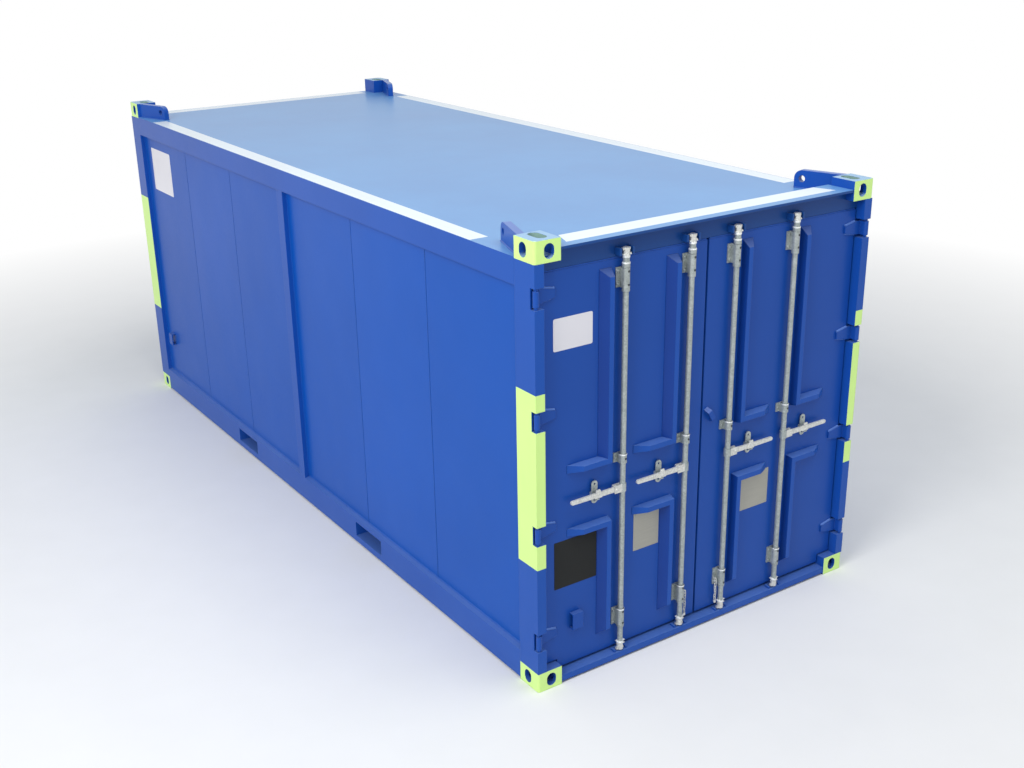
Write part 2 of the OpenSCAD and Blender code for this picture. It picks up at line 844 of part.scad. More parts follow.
module right_door_catches() {
    color(bare_zinc) door_catches([rod_inner_x, rod_outer_x], 1);
}

module left_door_rope_eye() {
    color(paint_blue) translate([-half_w + rope_eye_side, leaf_y, rope_eye_z]) rotate([0, 0, 180]) rope_eye();
}

// A sloping strap bent away from the door, to pull the door shut by
module right_door_hand_hold() {
    middle = [rod_inner_x / 5, leaf_y, handle_z + hand_hold_rise];
    rest = hand_hold_l / 2;
    flat = rest - rod_stand / 2;
    color(paint_blue) translate(middle) rotate([0, hand_hold_tilt, 0])
        translate([0, 0, -hand_hold_w / 2]) linear_extrude(hand_hold_w) polygon([
            [-rest, 0],
            [-flat, -rod_stand],
            [flat, -rod_stand],
            [rest, 0],
            [rest - hand_hold_t, 0],
            [flat - hand_hold_t / 2, -rod_stand + hand_hold_t],
            [-flat + hand_hold_t / 2, -rod_stand + hand_hold_t],
            [-rest + hand_hold_t, 0]
        ]);
}

// A cam with its end at the origin: a flat plate that reaches out to one side of the rod, and a
// thicker prong by the end that reaches out to the other. Both lie along X when the rod is home.
module cam() {
    short_reach = cam_reach * 3 / 4;
    union() {
        cylinder(r = rod_r + 3, h = cam_h);
        block([-cam_reach, -rod_r / 2, eps], [short_reach, rod_r / 2, cam_h / 3]);
        block([-short_reach, -rod_r / 2, cam_h * 3 / 4], [cam_reach, rod_r / 2, cam_h - eps]);
    }
}

// A collar that keeps the rod from sliding in a bearing
module collar() {
    cylinder(r = sleeve_r, h = foot_t);
}

// A hub that holds a handle between two cheeks, with its pin
module handle_hub(side) {
    root = handle_pivot - (handle_root_h + handle_pin_d - 6) / 2 - swing_gap;
    reach = handle_pivot + handle_pin_d;
    front = handle_back_y - rod_y - handle_t - pin_gap;
    back = lug_y - rod_y;
    pin_front = front - cheek_t / 2;
    union() {
        translate([0, 0, -hub_h / 2 - eps]) cylinder(r = sleeve_r, h = hub_h + 2 * eps);
        block([0, front - cheek_t, -hub_h / 2], [side * root, back + lug_t, hub_h / 2]);
        block([0, front - cheek_t, -hub_h / 2], [side * reach, front, hub_h / 2]);
        block([0, back, -hub_h / 2], [side * reach, back + lug_t, hub_h / 2]);
        translate([side * handle_pivot, back + eps, 0]) rotate([90, 0, 0])
            cylinder(d = handle_pin_d, h = back + eps - pin_front);
    }
}

module lock_rod(i) {
    side = handle_side(i);
    shank_gap = foot_t + 2;
    color(bare_zinc) translate([rod_places[i], rod_y, 0]) union() {
        translate([0, 0, rod_z0]) cylinder(r = rod_r, h = rod_z1 - rod_z0);
        translate([0, 0, rod_z0]) cam();
        translate([0, 0, rod_z1]) mirror([0, 0, 1]) cam();
        translate([0, 0, bearing_low_z - bearing_h / 2 - shank_gap]) collar();
        translate([0, 0, bearing_high_z + bearing_h / 2 + 2]) collar();
        translate([0, 0, bearing_high_z + bearing_h / 2 + shank_gap - eps])
            cylinder(r = rod_r + 2, h = rod_z1 - cam_h - bearing_high_z - bearing_h / 2 - shank_gap + 2 * eps);
        translate([0, 0, rod_z1 - cam_h - foot_t]) cylinder(r = sleeve_r - 1, h = foot_t + eps);
        translate([0, 0, handle_z]) handle_hub(side);
    }
}

// A flat bar with an eye at its pivot, lower towards its round tip, and a flap where it crosses
// its catch
module lock_handle(i) {
    side = handle_side(i);
    tip_r = handle_bar_h / 2;
    root_r = handle_root_h / 2;
    eye_d = handle_root_h + handle_pin_d - 6;
    flap_x = catch_x - handle_pivot - catch_w / 2;
    color(bare_zinc) translate([rod_places[i] + side * handle_pivot, handle_back_y, handle_z])
        mirror([side > 0 ? 0 : 1, 0, 0]) rotate([90, 0, 0]) difference() {
            union() {
                linear_extrude(handle_t) union() {
                    circle(d = eye_d);
                    polygon([[0, -root_r], [handle_l - tip_r, -tip_r], [handle_l - tip_r, tip_r], [0, root_r]]);
                    translate([handle_l - tip_r, 0]) circle(r = tip_r);
                }
                translate([0, 0, handle_t - eps]) linear_extrude(cheek_t + eps) polygon([
                    [flap_x - catch_w / 4, -root_r],
                    [flap_x + catch_w, -root_r],
                    [flap_x + catch_w * 3 / 4, flap_h - root_r],
                    [flap_x + catch_w / 8, flap_h - root_r]
                ]);
            }
            translate([0, 0, -eps]) cylinder(d = handle_pin_d + 2 * pin_gap, h = handle_t + 2 * eps);
        }
}

top_corner_castings();
bottom_corner_castings();
lifting_eyes();
door_posts();
rear_corner_posts();
mid_side_posts();
top_side_rails();
bottom_side_rails();
rear_top_rail();
rear_bottom_rail();
door_header();
door_sill();
left_side_wall();
right_side_wall();
end_wall();
roof_sheet();
floor_boards();
floor_cross_members();
fork_pockets();
header_keepers();
sill_keepers();
hinge_pins();
side_rope_eyes();
left_door_leaf();
left_door_gasket();
left_door_ridges();
left_door_hinges();
left_door_bearings();
left_door_catches();
left_door_rope_eye();
right_door_leaf();
right_door_gasket();
right_door_ridges();
right_door_hinges();
right_door_bearings();
right_door_catches();
right_door_hand_hold();
lock_rod(0);  // lock_rod_1
lock_rod(1);  // lock_rod_2
lock_rod(2);  // lock_rod_3
lock_rod(3);  // lock_rod_4
lock_handle(0);  // lock_handle_1
lock_handle(1);  // lock_handle_2
lock_handle(2);  // lock_handle_3
lock_handle(3);  // lock_handle_4
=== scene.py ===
"""Looks for an offshore dry cargo container: paint, zinc, plates, stickers, welds and bolts.

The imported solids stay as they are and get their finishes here. Small fastenings, weld beads,
bare plates and stickers are added as meshes of their own. All lengths are in metres, in the
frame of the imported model: X across the box, Y along it with the doors at -Y, Z up.
"""

import logging
import math
import random
from dataclasses import dataclass, field, replace
from enum import Enum

import bmesh
import bpy
from mathutils import Matrix, Vector


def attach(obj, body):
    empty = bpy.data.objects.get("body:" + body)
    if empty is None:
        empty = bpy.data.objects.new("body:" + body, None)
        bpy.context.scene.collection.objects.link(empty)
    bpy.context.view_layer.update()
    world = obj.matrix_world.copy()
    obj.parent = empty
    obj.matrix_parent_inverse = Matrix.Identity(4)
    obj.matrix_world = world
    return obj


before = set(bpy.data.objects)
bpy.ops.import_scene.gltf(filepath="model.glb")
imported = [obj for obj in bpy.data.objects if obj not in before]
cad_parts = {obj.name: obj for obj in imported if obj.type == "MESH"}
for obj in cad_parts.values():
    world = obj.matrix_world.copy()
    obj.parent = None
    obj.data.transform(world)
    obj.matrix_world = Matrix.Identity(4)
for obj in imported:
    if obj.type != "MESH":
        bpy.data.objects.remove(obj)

LOG = logging.getLogger("container")
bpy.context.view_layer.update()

Pair = tuple[float, float]
Point = tuple[float, float, float]
Colour = tuple[float, float, float]
Rect = tuple[float, float, float, float]
Socket = bpy.types.NodeSocket
Material = bpy.types.Material
# What an input of a node can be given: a socket to link, a number, or a colour or vector.
Value = Socket | float | Colour

UP = Vector((0.0, 0.0, 1.0))
FRONT: Point = (0, -1, 0)


class Body(Enum):
    """Rigid bodies of the box and its doors. A rod or a handle is named by its own node."""

    FRAME = "frame"
    LEFT_DOOR = "left_door"
    RIGHT_DOOR = "right_door"


class Slot(Enum):
    """Material slots of the record that the added pieces take their finish from."""

    BLUE = "blue_paint"
    ZINC = "zinc"
    RUBBER = "rubber"


class Zone(Enum):
    """Regions that look unlike the rest of a piece, by the names of their masks."""

    CASTING = "Casting"
    BAND = "Band"
    STRIPES = "Stripes"
    RIDGE_SHADE = "Ridge Shade"
    DOOR_END = "Door End"
    UPWARD = "Upward"
    ODD_SHEETS = "Odd Sheets"
    ROD_ENDS = "Rod Ends"
    OVERSPRAY = "Overspray"


def linear(r: float, g: float, b: float) -> Colour:
    """Turn a display colour, each part from 0 to 1, into a linear one."""
    return tuple(c / 12.92 if c <= 0.04045 else ((c + 0.055) / 1.055) ** 2.4 for c in (r, g, b))


def aimed(place: Vector, direction: Vector, axis: str = "Z") -> Matrix:
    """Matrix that stands at a place, with one of its axes turned along a direction."""
    return Matrix.Translation(place) @ direction.to_track_quat(axis, "Y").to_matrix().to_4x4()


@dataclass(frozen=True)
class BoxSizes:
    """Main sizes of the box, and the small ones that more than one class uses."""

    half_w: float = 1.219
    half_l: float = 3.029
    top: float = 2.591
    roof_z: float = 2.480
    wall_x: float = 1.184
    wall_seams: tuple[float, ...] = (-1.894, -0.978, 0.978, 1.894)
    skin_y: float = -2.971
    rods: tuple[float, ...] = (-0.622, -0.165, 0.165, 0.622)
    handle_z: float = 1.102
    foot_y: float = -2.979
    # How far a plate reaches into the sheet that carries it.
    sunk: float = 0.0002


BOX = BoxSizes()


class NodeTree:
    """Short calls for building a shader tree. A value can be a socket or a number."""

    def __init__(self, tree: bpy.types.NodeTree) -> None:
        """Keep the tree that nodes are added to.

        Args:
            tree: the tree of a material, world or node group.
        """
        self.tree = tree

    def add(self, kind: str, **settings: object) -> bpy.types.Node:
        """Add a node and set its properties.

        Args:
            kind: the node's type name.
            **settings: properties to set on it.

        Returns:
            The new node.
        """
        node = self.tree.nodes.new(kind)
        for name, value in settings.items():
            setattr(node, name, value)
        return node

    def feed(self, target: Socket, value: Value) -> None:
        """Link a socket, or set it to a value.

        Args:
            target: the socket to feed.
            value: a socket, a number, a vector, or a colour, which is made opaque here.
        """
        if isinstance(value, Socket):
            self.tree.links.new(value, target)
        elif target.type == "RGBA":
            target.default_value = (*value, 1.0)
        else:
            target.default_value = value

    def fill(self, node: bpy.types.Node, **values: Value) -> bpy.types.Node:
        """Feed a node's inputs by name.

        Args:
            node: the node.
            **values: the inputs' values, with spaces in names written as underscores.

        Returns:
            The same node.
        """
        for name, value in values.items():
            self.feed(node.inputs[name.replace("_", " ")], value)
        return node

    def where(self) -> Socket:
        """Place in the container's own frame."""
        return self.add("ShaderNodeTexCoord").outputs["Object"]

    def stretched(self, scale: Point) -> Socket:
        """Place in the container's own frame, scaled along each axis."""
        return self.fill(self.add("ShaderNodeMapping"), Vector=self.where(), Scale=scale).outputs["Vector"]

    def normal(self) -> Socket:
        """Direction that the surface looks in."""
        return self.add("ShaderNodeNewGeometry").outputs["Normal"]

    def split(self, vector: Socket) -> bpy.types.bpy_prop_collection:
        """Outputs X, Y and Z of a vector."""
        return self.fill(self.add("ShaderNodeSeparateXYZ"), Vector=vector).outputs

    def math(self, operation: str, a: Value, b: Value = 0.0, clamp: bool = False) -> Socket:
        """Add a math node.

        Args:
            operation: the operation's name.
            a: first value.
            b: second value.
            clamp: whether the result is held from 0 to 1.

        Returns:
            The result's socket.
        """
        node = self.add("ShaderNodeMath", operation=operation, use_clamp=clamp)
        self.feed(node.inputs[0], a)
        self.feed(node.inputs[1], b)
        return node.outputs[0]

    def times(self, a: Value, b: Value, clamp: bool = False) -> Socket:
        """Product of two values, which for masks is where both are 1."""
        return self.math("MULTIPLY", a, b, clamp)

    def plus(self, a: Value, b: Value, clamp: bool = False) -> Socket:
        """Sum of two values."""
        return self.math("ADD", a, b, clamp)

    def either(self, a: Value, b: Value) -> Socket:
        """Larger of two values, which for masks is where one or both are 1."""
        return self.math("MAXIMUM", a, b)

    def over(self, value: Value, limit: float) -> Socket:
        """Mask that is 1 where a value is over a limit."""
        return self.math("GREATER_THAN", value, limit)

    def under(self, value: Value, limit: float) -> Socket:
        """Mask that is 1 where a value is under a limit."""
        return self.math("LESS_THAN", value, limit)

    def between(self, value: Value, low: float, high: float) -> Socket:
        """Mask that is 1 where a value lies between two limits."""
        return self.times(self.over(value, low), self.under(value, high))

    def mix(self, factor: Value, a: Value, b: Value, blend: str = "MIX") -> Socket:
        """Mix two colours.

        Args:
            factor: 0 for the first colour, 1 for the second.
            a: first colour.
            b: second colour.
            blend: the way of mixing.

        Returns:
            The mixed colour's socket.
        """
        node = self.fill(self.add("ShaderNodeMix", data_type="RGBA", blend_type=blend), Factor=factor)
        # The node has sockets for every kind of data, and only those for colours count here.
        for target, value in zip((s for s in node.inputs if s.type == "RGBA"), (a, b)):
            self.feed(target, value)
        return next(s for s in node.outputs if s.type == "RGBA")

    def toned(self, colour: Value, level: Socket) -> Socket:
        """Colour that is made paler or darker by a level round 1."""
        return self.mix(1.0, colour, level, "MULTIPLY")

    def span(
        self, value: Value, low: float, high: float, to_low: float = 0.0, to_high: float = 1.0
    ) -> Socket:
        """Map a range onto another, held at its ends.

        Args:
            value: the value to map.
            low: start of the range.
            high: end of the range.
            to_low: what the start becomes.
            to_high: what the end becomes.

        Returns:
            The mapped value's socket.
        """
        node = self.add("ShaderNodeMapRange")
        self.fill(node, Value=value, From_Min=low, From_Max=high, To_Min=to_low, To_Max=to_high)
        return node.outputs["Result"]

    def noise(self, place: Socket, scale: float, detail: float = 2.0, roughness: float = 0.5) -> Socket:
        """Add a noise texture.

        Args:
            place: the coordinates' socket.
            scale: its scale, in features a metre.
            detail: its number of octaves.
            roughness: how strong the fine octaves are.

        Returns:
            The noise value's socket.
        """
        node = self.add("ShaderNodeTexNoise")
        self.fill(node, Vector=place, Scale=scale, Detail=detail, Roughness=roughness)
        return node.outputs["Fac"]

    def blend(self, factor: Socket, first: bpy.types.Node, second: bpy.types.Node) -> Socket:
        """Mix two shaders.

        Args:
            factor: 0 for the first shader, 1 for the second.
            first: the first shader's node.
            second: the second shader's node.

        Returns:
            The mixed shader's socket.
        """
        node = self.add("ShaderNodeMixShader")
        for target, source in zip(node.inputs, (factor, first.outputs[0], second.outputs[0])):
            self.feed(target, source)
        return node.outputs[0]


class ShaderGroup:
    """A named node group with its own inputs and outputs, built once."""

    title = "group"
    inputs: tuple[tuple[str, str, float | Colour], ...] = ()
    outputs: tuple[tuple[str, str], ...] = ()

    def __init__(self) -> None:
        """Build the group's sockets and let the subclass fill it."""
        tree = bpy.data.node_groups.new(self.title, "ShaderNodeTree")
        for name, kind, value in self.inputs:
            socket = tree.interface.new_socket(name, in_out="INPUT", socket_type=f"NodeSocket{kind}")
            socket.default_value = (*value, 1.0) if kind == "Color" else value
        for name, kind in self.outputs:
            tree.interface.new_socket(name, in_out="OUTPUT", socket_type=f"NodeSocket{kind}")
        self.nodes = NodeTree(tree)
        self.source = self.nodes.add("NodeGroupInput")
        self.sink = self.nodes.add("NodeGroupOutput")
        self.build()

    def build(self) -> None:
        """Build the nodes between the group's inputs and outputs."""
        raise NotImplementedError

    def given(self, name: str) -> Socket:
        """Socket inside the group that brings one of its inputs."""
        return self.source.outputs[name]

    def put_out(self, **values: Socket) -> None:
        """Feed the group's outputs by name."""
        self.nodes.fill(self.sink, **values)

    def place(self, nodes: NodeTree, **values: Value) -> bpy.types.bpy_prop_collection:
        """Place the group in a material with its inputs' values, and return its outputs."""
        return nodes.fill(nodes.add("ShaderNodeGroup", node_tree=self.nodes.tree), **values).outputs


class GrimeSheenGroup(ShaderGroup):
    """Dust on what faces up or lies near the ground, and a painted sheen of sky light on what faces up,
    over an uneven colour.
    """

    title = "grime_sheen"
    inputs = (
        ("Color", "Color", (0.5, 0.5, 0.5)),
        ("Dust Color", "Color", (0.50, 0.68, 0.86)),
        ("Dust", "Float", 0.15),
        ("Haze", "Float", 0.0),
        ("Uneven", "Float", 0.06),
        ("Gloss", "Float", 0.25),
    )
    outputs = (("Color", "Color"), ("Roughness", "Float"))

    def build(self) -> None:
        """Mix the base colour with mottling, dust and the painted sheen."""
        n = self.nodes
        where = n.where()
        broad = n.noise(where, scale=1.3, detail=3.0, roughness=0.55)
        fine = n.noise(where, scale=34.0, detail=4.0, roughness=0.62)
        # Dust lies on what looks up and over the lowest half metre, in large and small patches.
        top = n.span(n.split(n.normal())["Z"], 0.35, 0.95, to_high=0.75)
        low = n.span(n.split(where)["Z"], 0.0, 0.55, to_low=0.55, to_high=0.0)
        patches = n.span(n.plus(n.times(broad, 0.6), n.times(fine, 0.4)), 0.36, 0.68)
        dust = n.times(n.times(n.either(top, low), patches), self.given("Dust"))
        # The painted sheen is a pale sky reflection laid on what faces up, in the dust's colour.
        amount = n.plus(dust, n.times(top, self.given("Haze")), clamp=True)
        shift = n.span(broad, 0.3, 0.7, to_low=-1.0)
        level = n.plus(1.0, n.times(shift, self.given("Uneven")))
        toned = n.toned(self.given("Color"), level)
        rough = n.plus(self.given("Gloss"), n.times(fine, 0.08))
        self.put_out(
            Color=n.mix(amount, toned, self.given("Dust Color")),
            Roughness=n.plus(rough, n.times(amount, 0.6), clamp=True),
        )


class PeelGroup(ShaderGroup):
    """Height of sprayed paint: orange peel, with runs of slow waves in the sheet below."""

    title = "paint_peel"
    inputs = (("Peel", "Float", 0.3), ("Waves", "Float", 0.5))
    outputs = (("Height", "Float"),)

    def build(self) -> None:
        """Add fine peel to slow waves."""
        n = self.nodes
        where = n.where()
        fine = n.times(n.noise(where, scale=320.0, detail=1.0), self.given("Peel"))
        slow = n.times(n.noise(where, scale=2.2, detail=1.0), self.given("Waves"))
        self.put_out(Height=n.plus(n.times(fine, 0.02), slow))


class EdgeWearGroup(ShaderGroup):
    """Softened edges of thick paint, with a few worn places along them."""

    title = "edge_wear"
    inputs = (
        ("Color", "Color", (0.5, 0.5, 0.5)),
        ("Bare Color", "Color", (0.30, 0.34, 0.40)),
        ("Amount", "Float", 0.3),
        ("Reach", "Float", 0.005),
    )
    outputs = (("Color", "Color"), ("Normal", "Vector"))

    def build(self) -> None:
        """Find edges by comparing a rounded normal with the true one."""
        n = self.nodes
        # The rounded direction and the true one agree on flat faces and part near edges.
        rounded = n.fill(n.add("ShaderNodeBevel", samples=4), Radius=self.given("Reach")).outputs["Normal"]
        agree = n.add("ShaderNodeVectorMath", operation="DOT_PRODUCT")
        n.feed(agree.inputs[0], rounded)
        n.feed(agree.inputs[1], n.normal())
        edge = n.span(agree.outputs["Value"], 0.985, 0.80)
        chips = n.span(n.noise(n.where(), scale=46.0, detail=5.0, roughness=0.7), 0.54, 0.66)
        mask = n.times(n.times(edge, chips), self.given("Amount"), clamp=True)
        self.put_out(Color=n.mix(mask, self.given("Color"), self.given("Bare Color")), Normal=rounded)


class ZincGroup(ShaderGroup):
    """Crystals and white bloom of hot dip galvanising."""

    title = "zinc_spangle"
    inputs = (
        ("Color", "Color", (0.5, 0.5, 0.5)),
        ("Bloom Color", "Color", (0.74, 0.76, 0.76)),
        ("Spangle", "Float", 0.3),
        ("Bloom", "Float", 0.3),
    )
    outputs = (("Color", "Color"), ("Roughness", "Float"), ("Height", "Float"))

    def build(self) -> None:
        """Tint each crystal and lay a pale bloom over patches."""
        n = self.nodes
        where = n.where()
        # The parts of each crystal's own colour set its shade and its gloss.
        crystals = n.fill(n.add("ShaderNodeTexVoronoi", feature="F1"), Vector=where, Scale=130.0)
        tints = n.fill(n.add("ShaderNodeSeparateColor"), Color=crystals.outputs["Color"]).outputs
        shade = n.span(tints["Red"], 0.0, 1.0, to_low=-1.0)
        toned = n.toned(self.given("Color"), n.plus(1.0, n.times(shade, self.given("Spangle"))))
        bloom = n.span(n.noise(where, scale=26.0, detail=4.0, roughness=0.6), 0.48, 0.66)
        amount = n.times(bloom, self.given("Bloom"), clamp=True)
        rough = n.plus(0.34, n.times(tints["Green"], 0.14))
        self.put_out(
            Color=n.mix(amount, toned, self.given("Bloom Color")),
            Roughness=n.plus(rough, n.times(amount, 0.25), clamp=True),
            Height=n.noise(where, scale=90.0, detail=3.0),
        )


class LinesGroup(ShaderGroup):
    """Fine lines along X, as brushed metal and rolled vinyl have them."""

    title = "fine_lines"
    inputs = (("Color", "Color", (0.5, 0.5, 0.5)), ("Brushed", "Float", 0.1))
    outputs = (("Color", "Color"), ("Height", "Float"))
    stretch: Point = (6.0, 40.0, 700.0)

    def build(self) -> None:
        """Make the colour paler and darker from line to line."""
        n = self.nodes
        lines = n.noise(n.stretched(self.stretch), scale=1.0, detail=3.0, roughness=0.6)
        shift = n.times(n.span(lines, 0.3, 0.7, to_low=-1.0), self.given("Brushed"))
        self.put_out(Color=n.toned(self.given("Color"), n.plus(1.0, shift)), Height=lines)


class ZoneGroup(ShaderGroup):
    """Masks of the named regions, found from the place on the container.

    A pair holds the lowest and highest place along the axis that its name ends with.
    """

    title = "painted_zones"
    outputs = tuple((zone.value, "Float") for zone in Zone)
    skin: float = 0.0006
    roof_skin: float = 0.0008
    corner_round: float = 0.014
    band_round: float = 0.0005
    band_z: Pair = (0.775, 1.785)
    slot_x: Pair = (1.096, 1.162)
    slot_y: Pair = (2.864, 2.990)
    slot_z: Pair = (BOX.top - 0.032, BOX.top - 0.001)
    slot_share: float = 0.4
    cap_z: float = 2.0
    rod_z: Pair = (0.101, 2.418)
    hub_half: float = 0.0235
    hub_start: float = 0.014
    hub_end: float = 0.40
    seal_z: Pair = (0.09, 2.38)
    seal_x: float = 1.10
    header_z: float = 2.541
    side_stripe_x: Pair = (BOX.half_w - 0.120, BOX.half_w - 0.004)
    side_stripe_y: Pair = (-2.43, 2.49)
    rear_stripe_y: Pair = (2.895, 3.02)
    rear_stripe_x: Pair = (-0.98, 0.98)
    front_stripe_y: Pair = (-2.962, -2.829)
    front_stripe_slant: float = 0.35
    front_stripe_end: float = -0.062

    def build(self) -> None:
        """Read the place and the surface's direction, and put out every mask."""
        n = self.nodes
        place = n.split(n.where())
        self.x, self.y, self.z = place["X"], place["Y"], place["Z"]
        self.side = n.math("ABSOLUTE", self.x)
        self.end = n.math("ABSOLUTE", self.y)
        self.facing = n.split(n.normal())
        masks = {
            Zone.CASTING: self.casting(),
            Zone.BAND: n.times(self.outer_faces(self.band_round), n.between(self.z, *self.band_z)),
            Zone.STRIPES: self.stripes(),
            Zone.RIDGE_SHADE: self.ridge_shade(),
            Zone.DOOR_END: n.under(self.facing["Y"], -0.5),
            Zone.UPWARD: n.over(self.facing["Z"], 0.7),
            Zone.ODD_SHEETS: self.odd_sheets(),
            Zone.ROD_ENDS: self.rod_ends(),
            Zone.OVERSPRAY: self.overspray(),
        }
        for zone, mask in masks.items():
            n.feed(self.sink.inputs[zone.value], mask)

    def mask(self, nodes: NodeTree, zone: Zone) -> Socket:
        """Mask of one region, placed in a material."""
        return self.place(nodes)[zone.value]

    def outer_faces(self, radius: float) -> Socket:
        """Mask of the upright outer faces, with a rounded outer corner.

        Args:
            radius: the rounding of the corner between them.

        Returns:
            The mask's socket.
        """
        n = self.nodes
        on_side = n.over(self.side, BOX.half_w - self.skin)
        on_end = n.over(self.end, BOX.half_l - self.skin)
        near_side = n.over(self.side, BOX.half_w - radius)
        near_end = n.over(self.end, BOX.half_l - radius)
        return n.either(n.either(on_side, on_end), n.times(near_side, near_end))

    def casting(self) -> Socket:
        """Mask of a casting's outer faces and, more faintly, of its top slot's upright walls.

        Returns:
            The mask's socket.
        """
        n = self.nodes
        across = n.between(self.side, *self.slot_x)
        along = n.between(self.end, *self.slot_y)
        slot = n.times(n.times(across, along), n.between(self.z, *self.slot_z))
        return n.either(self.outer_faces(self.corner_round), n.times(slot, self.slot_share))

    def ridge_shade(self) -> Socket:
        """Mask of the ridges' slopes that look sideways, and of the caps at their upper ends, which get
        painted shade.

        Returns:
            The mask's socket.
        """
        n = self.nodes
        slopes = n.over(n.math("ABSOLUTE", self.facing["X"]), 0.6)
        caps = n.times(n.over(self.z, self.cap_z), n.over(self.facing["Z"], 0.3))
        return n.either(slopes, caps)

    def stripes(self) -> Socket:
        """Mask of the stripes along the roof's four edges.

        Returns:
            The mask's socket.
        """
        n = self.nodes
        on_roof = n.between(self.z, BOX.roof_z - self.roof_skin, BOX.roof_z + 0.02)
        on_header = n.over(self.z, self.header_z - self.roof_skin)
        sides = n.times(n.between(self.side, *self.side_stripe_x), n.between(self.y, *self.side_stripe_y))
        rear = n.times(n.between(self.y, *self.rear_stripe_y), n.between(self.x, *self.rear_stripe_x))
        slant = n.plus(self.side, n.times(self.y, self.front_stripe_slant))
        front = n.times(n.between(self.y, *self.front_stripe_y), n.under(slant, self.front_stripe_end))
        return n.either(n.times(on_roof, n.either(sides, rear)), n.times(on_header, front))

    def odd_sheets(self) -> Socket:
        """Mask of every second welded sheet along the box.

        Returns:
            The mask's socket.
        """
        passed: Value = 0.0
        for y in BOX.wall_seams:
            passed = self.nodes.plus(passed, self.nodes.over(self.y, y))
        return self.nodes.math("MODULO", passed, 2.0)

    def rod_ends(self) -> Socket:
        """Mask of the cams on a lock rod, which are painted pale as a highlight, and of the handle's hub
        beside it.

        Returns:
            The mask's socket.
        """
        n = self.nodes
        cams = n.either(n.over(self.z, self.rod_z[1]), n.under(self.z, self.rod_z[0]))
        hub = n.between(self.z, BOX.handle_z - self.hub_half, BOX.handle_z + self.hub_half)
        inner = n.between(self.side, BOX.rods[2] + self.hub_start, self.hub_end)
        outer = n.over(self.side, BOX.rods[3] + self.hub_start)
        return n.either(cams, n.times(hub, n.either(inner, outer)))

    def overspray(self) -> Socket:
        """Mask of the rubber's outer, upper and lower runs, which were painted with the doors.

        Returns:
            The mask's socket.
        """
        n = self.nodes
        level = n.either(n.over(self.z, self.seal_z[1]), n.under(self.z, self.seal_z[0]))
        return n.either(n.over(self.side, self.seal_x), level)


@dataclass
class ShaderKit:
    """The shader groups that the finishes share."""

    grime_sheen: GrimeSheenGroup = field(default_factory=GrimeSheenGroup)
    peel: PeelGroup = field(default_factory=PeelGroup)
    wear: EdgeWearGroup = field(default_factory=EdgeWearGroup)
    zinc: ZincGroup = field(default_factory=ZincGroup)
    lines: LinesGroup = field(default_factory=LinesGroup)
    zones: ZoneGroup = field(default_factory=ZoneGroup)


class MaterialSheet:
    """A new material with its shader and output ready to feed."""

    def __init__(self, title: str) -> None:
        """Create the material.

        Args:
            title: the material's name.
        """
        self.material = bpy.data.materials.new(title)
        self.material.use_nodes = True
        self.material.node_tree.nodes.clear()
        self.nodes = NodeTree(self.material.node_tree)
        self.shader = self.nodes.add("ShaderNodeBsdfPrincipled")
        self.output = self.nodes.add("ShaderNodeOutputMaterial")
        self.nodes.fill(self.output, Surface=self.shader.outputs[0])

    def feed(self, **values: Value) -> None:
        """Feed the shader's inputs by name, with spaces in names written as underscores."""
        self.nodes.fill(self.shader, **values)

    def soil_and_sheen(self, kit: ShaderKit, **values: Value) -> None:
        """Lay dust and the painted sheen over a colour and feed the result to the shader.

        Args:
            kit: the shared shader groups.
            **values: the inputs of the dust and sheen group.
        """
        grime_sheen = kit.grime_sheen.place(self.nodes, **values)
        self.feed(Base_Color=grime_sheen["Color"], Roughness=grime_sheen["Roughness"])

    def bump(self, height: Socket, distance: float, normal: Socket | None = None) -> None:
        """Feed a height to the shader's normal.

        Args:
            height: the height's socket.
            distance: what a height of 1 stands for, in metres.
            normal: the normal that the height is laid on, where it isn't the surface's own.
        """
        node = self.nodes.fill(self.nodes.add("ShaderNodeBump"), Height=height, Distance=distance)
        if normal is not None:
            self.nodes.fill(node, Normal=normal)
        self.feed(Normal=node.outputs["Normal"])


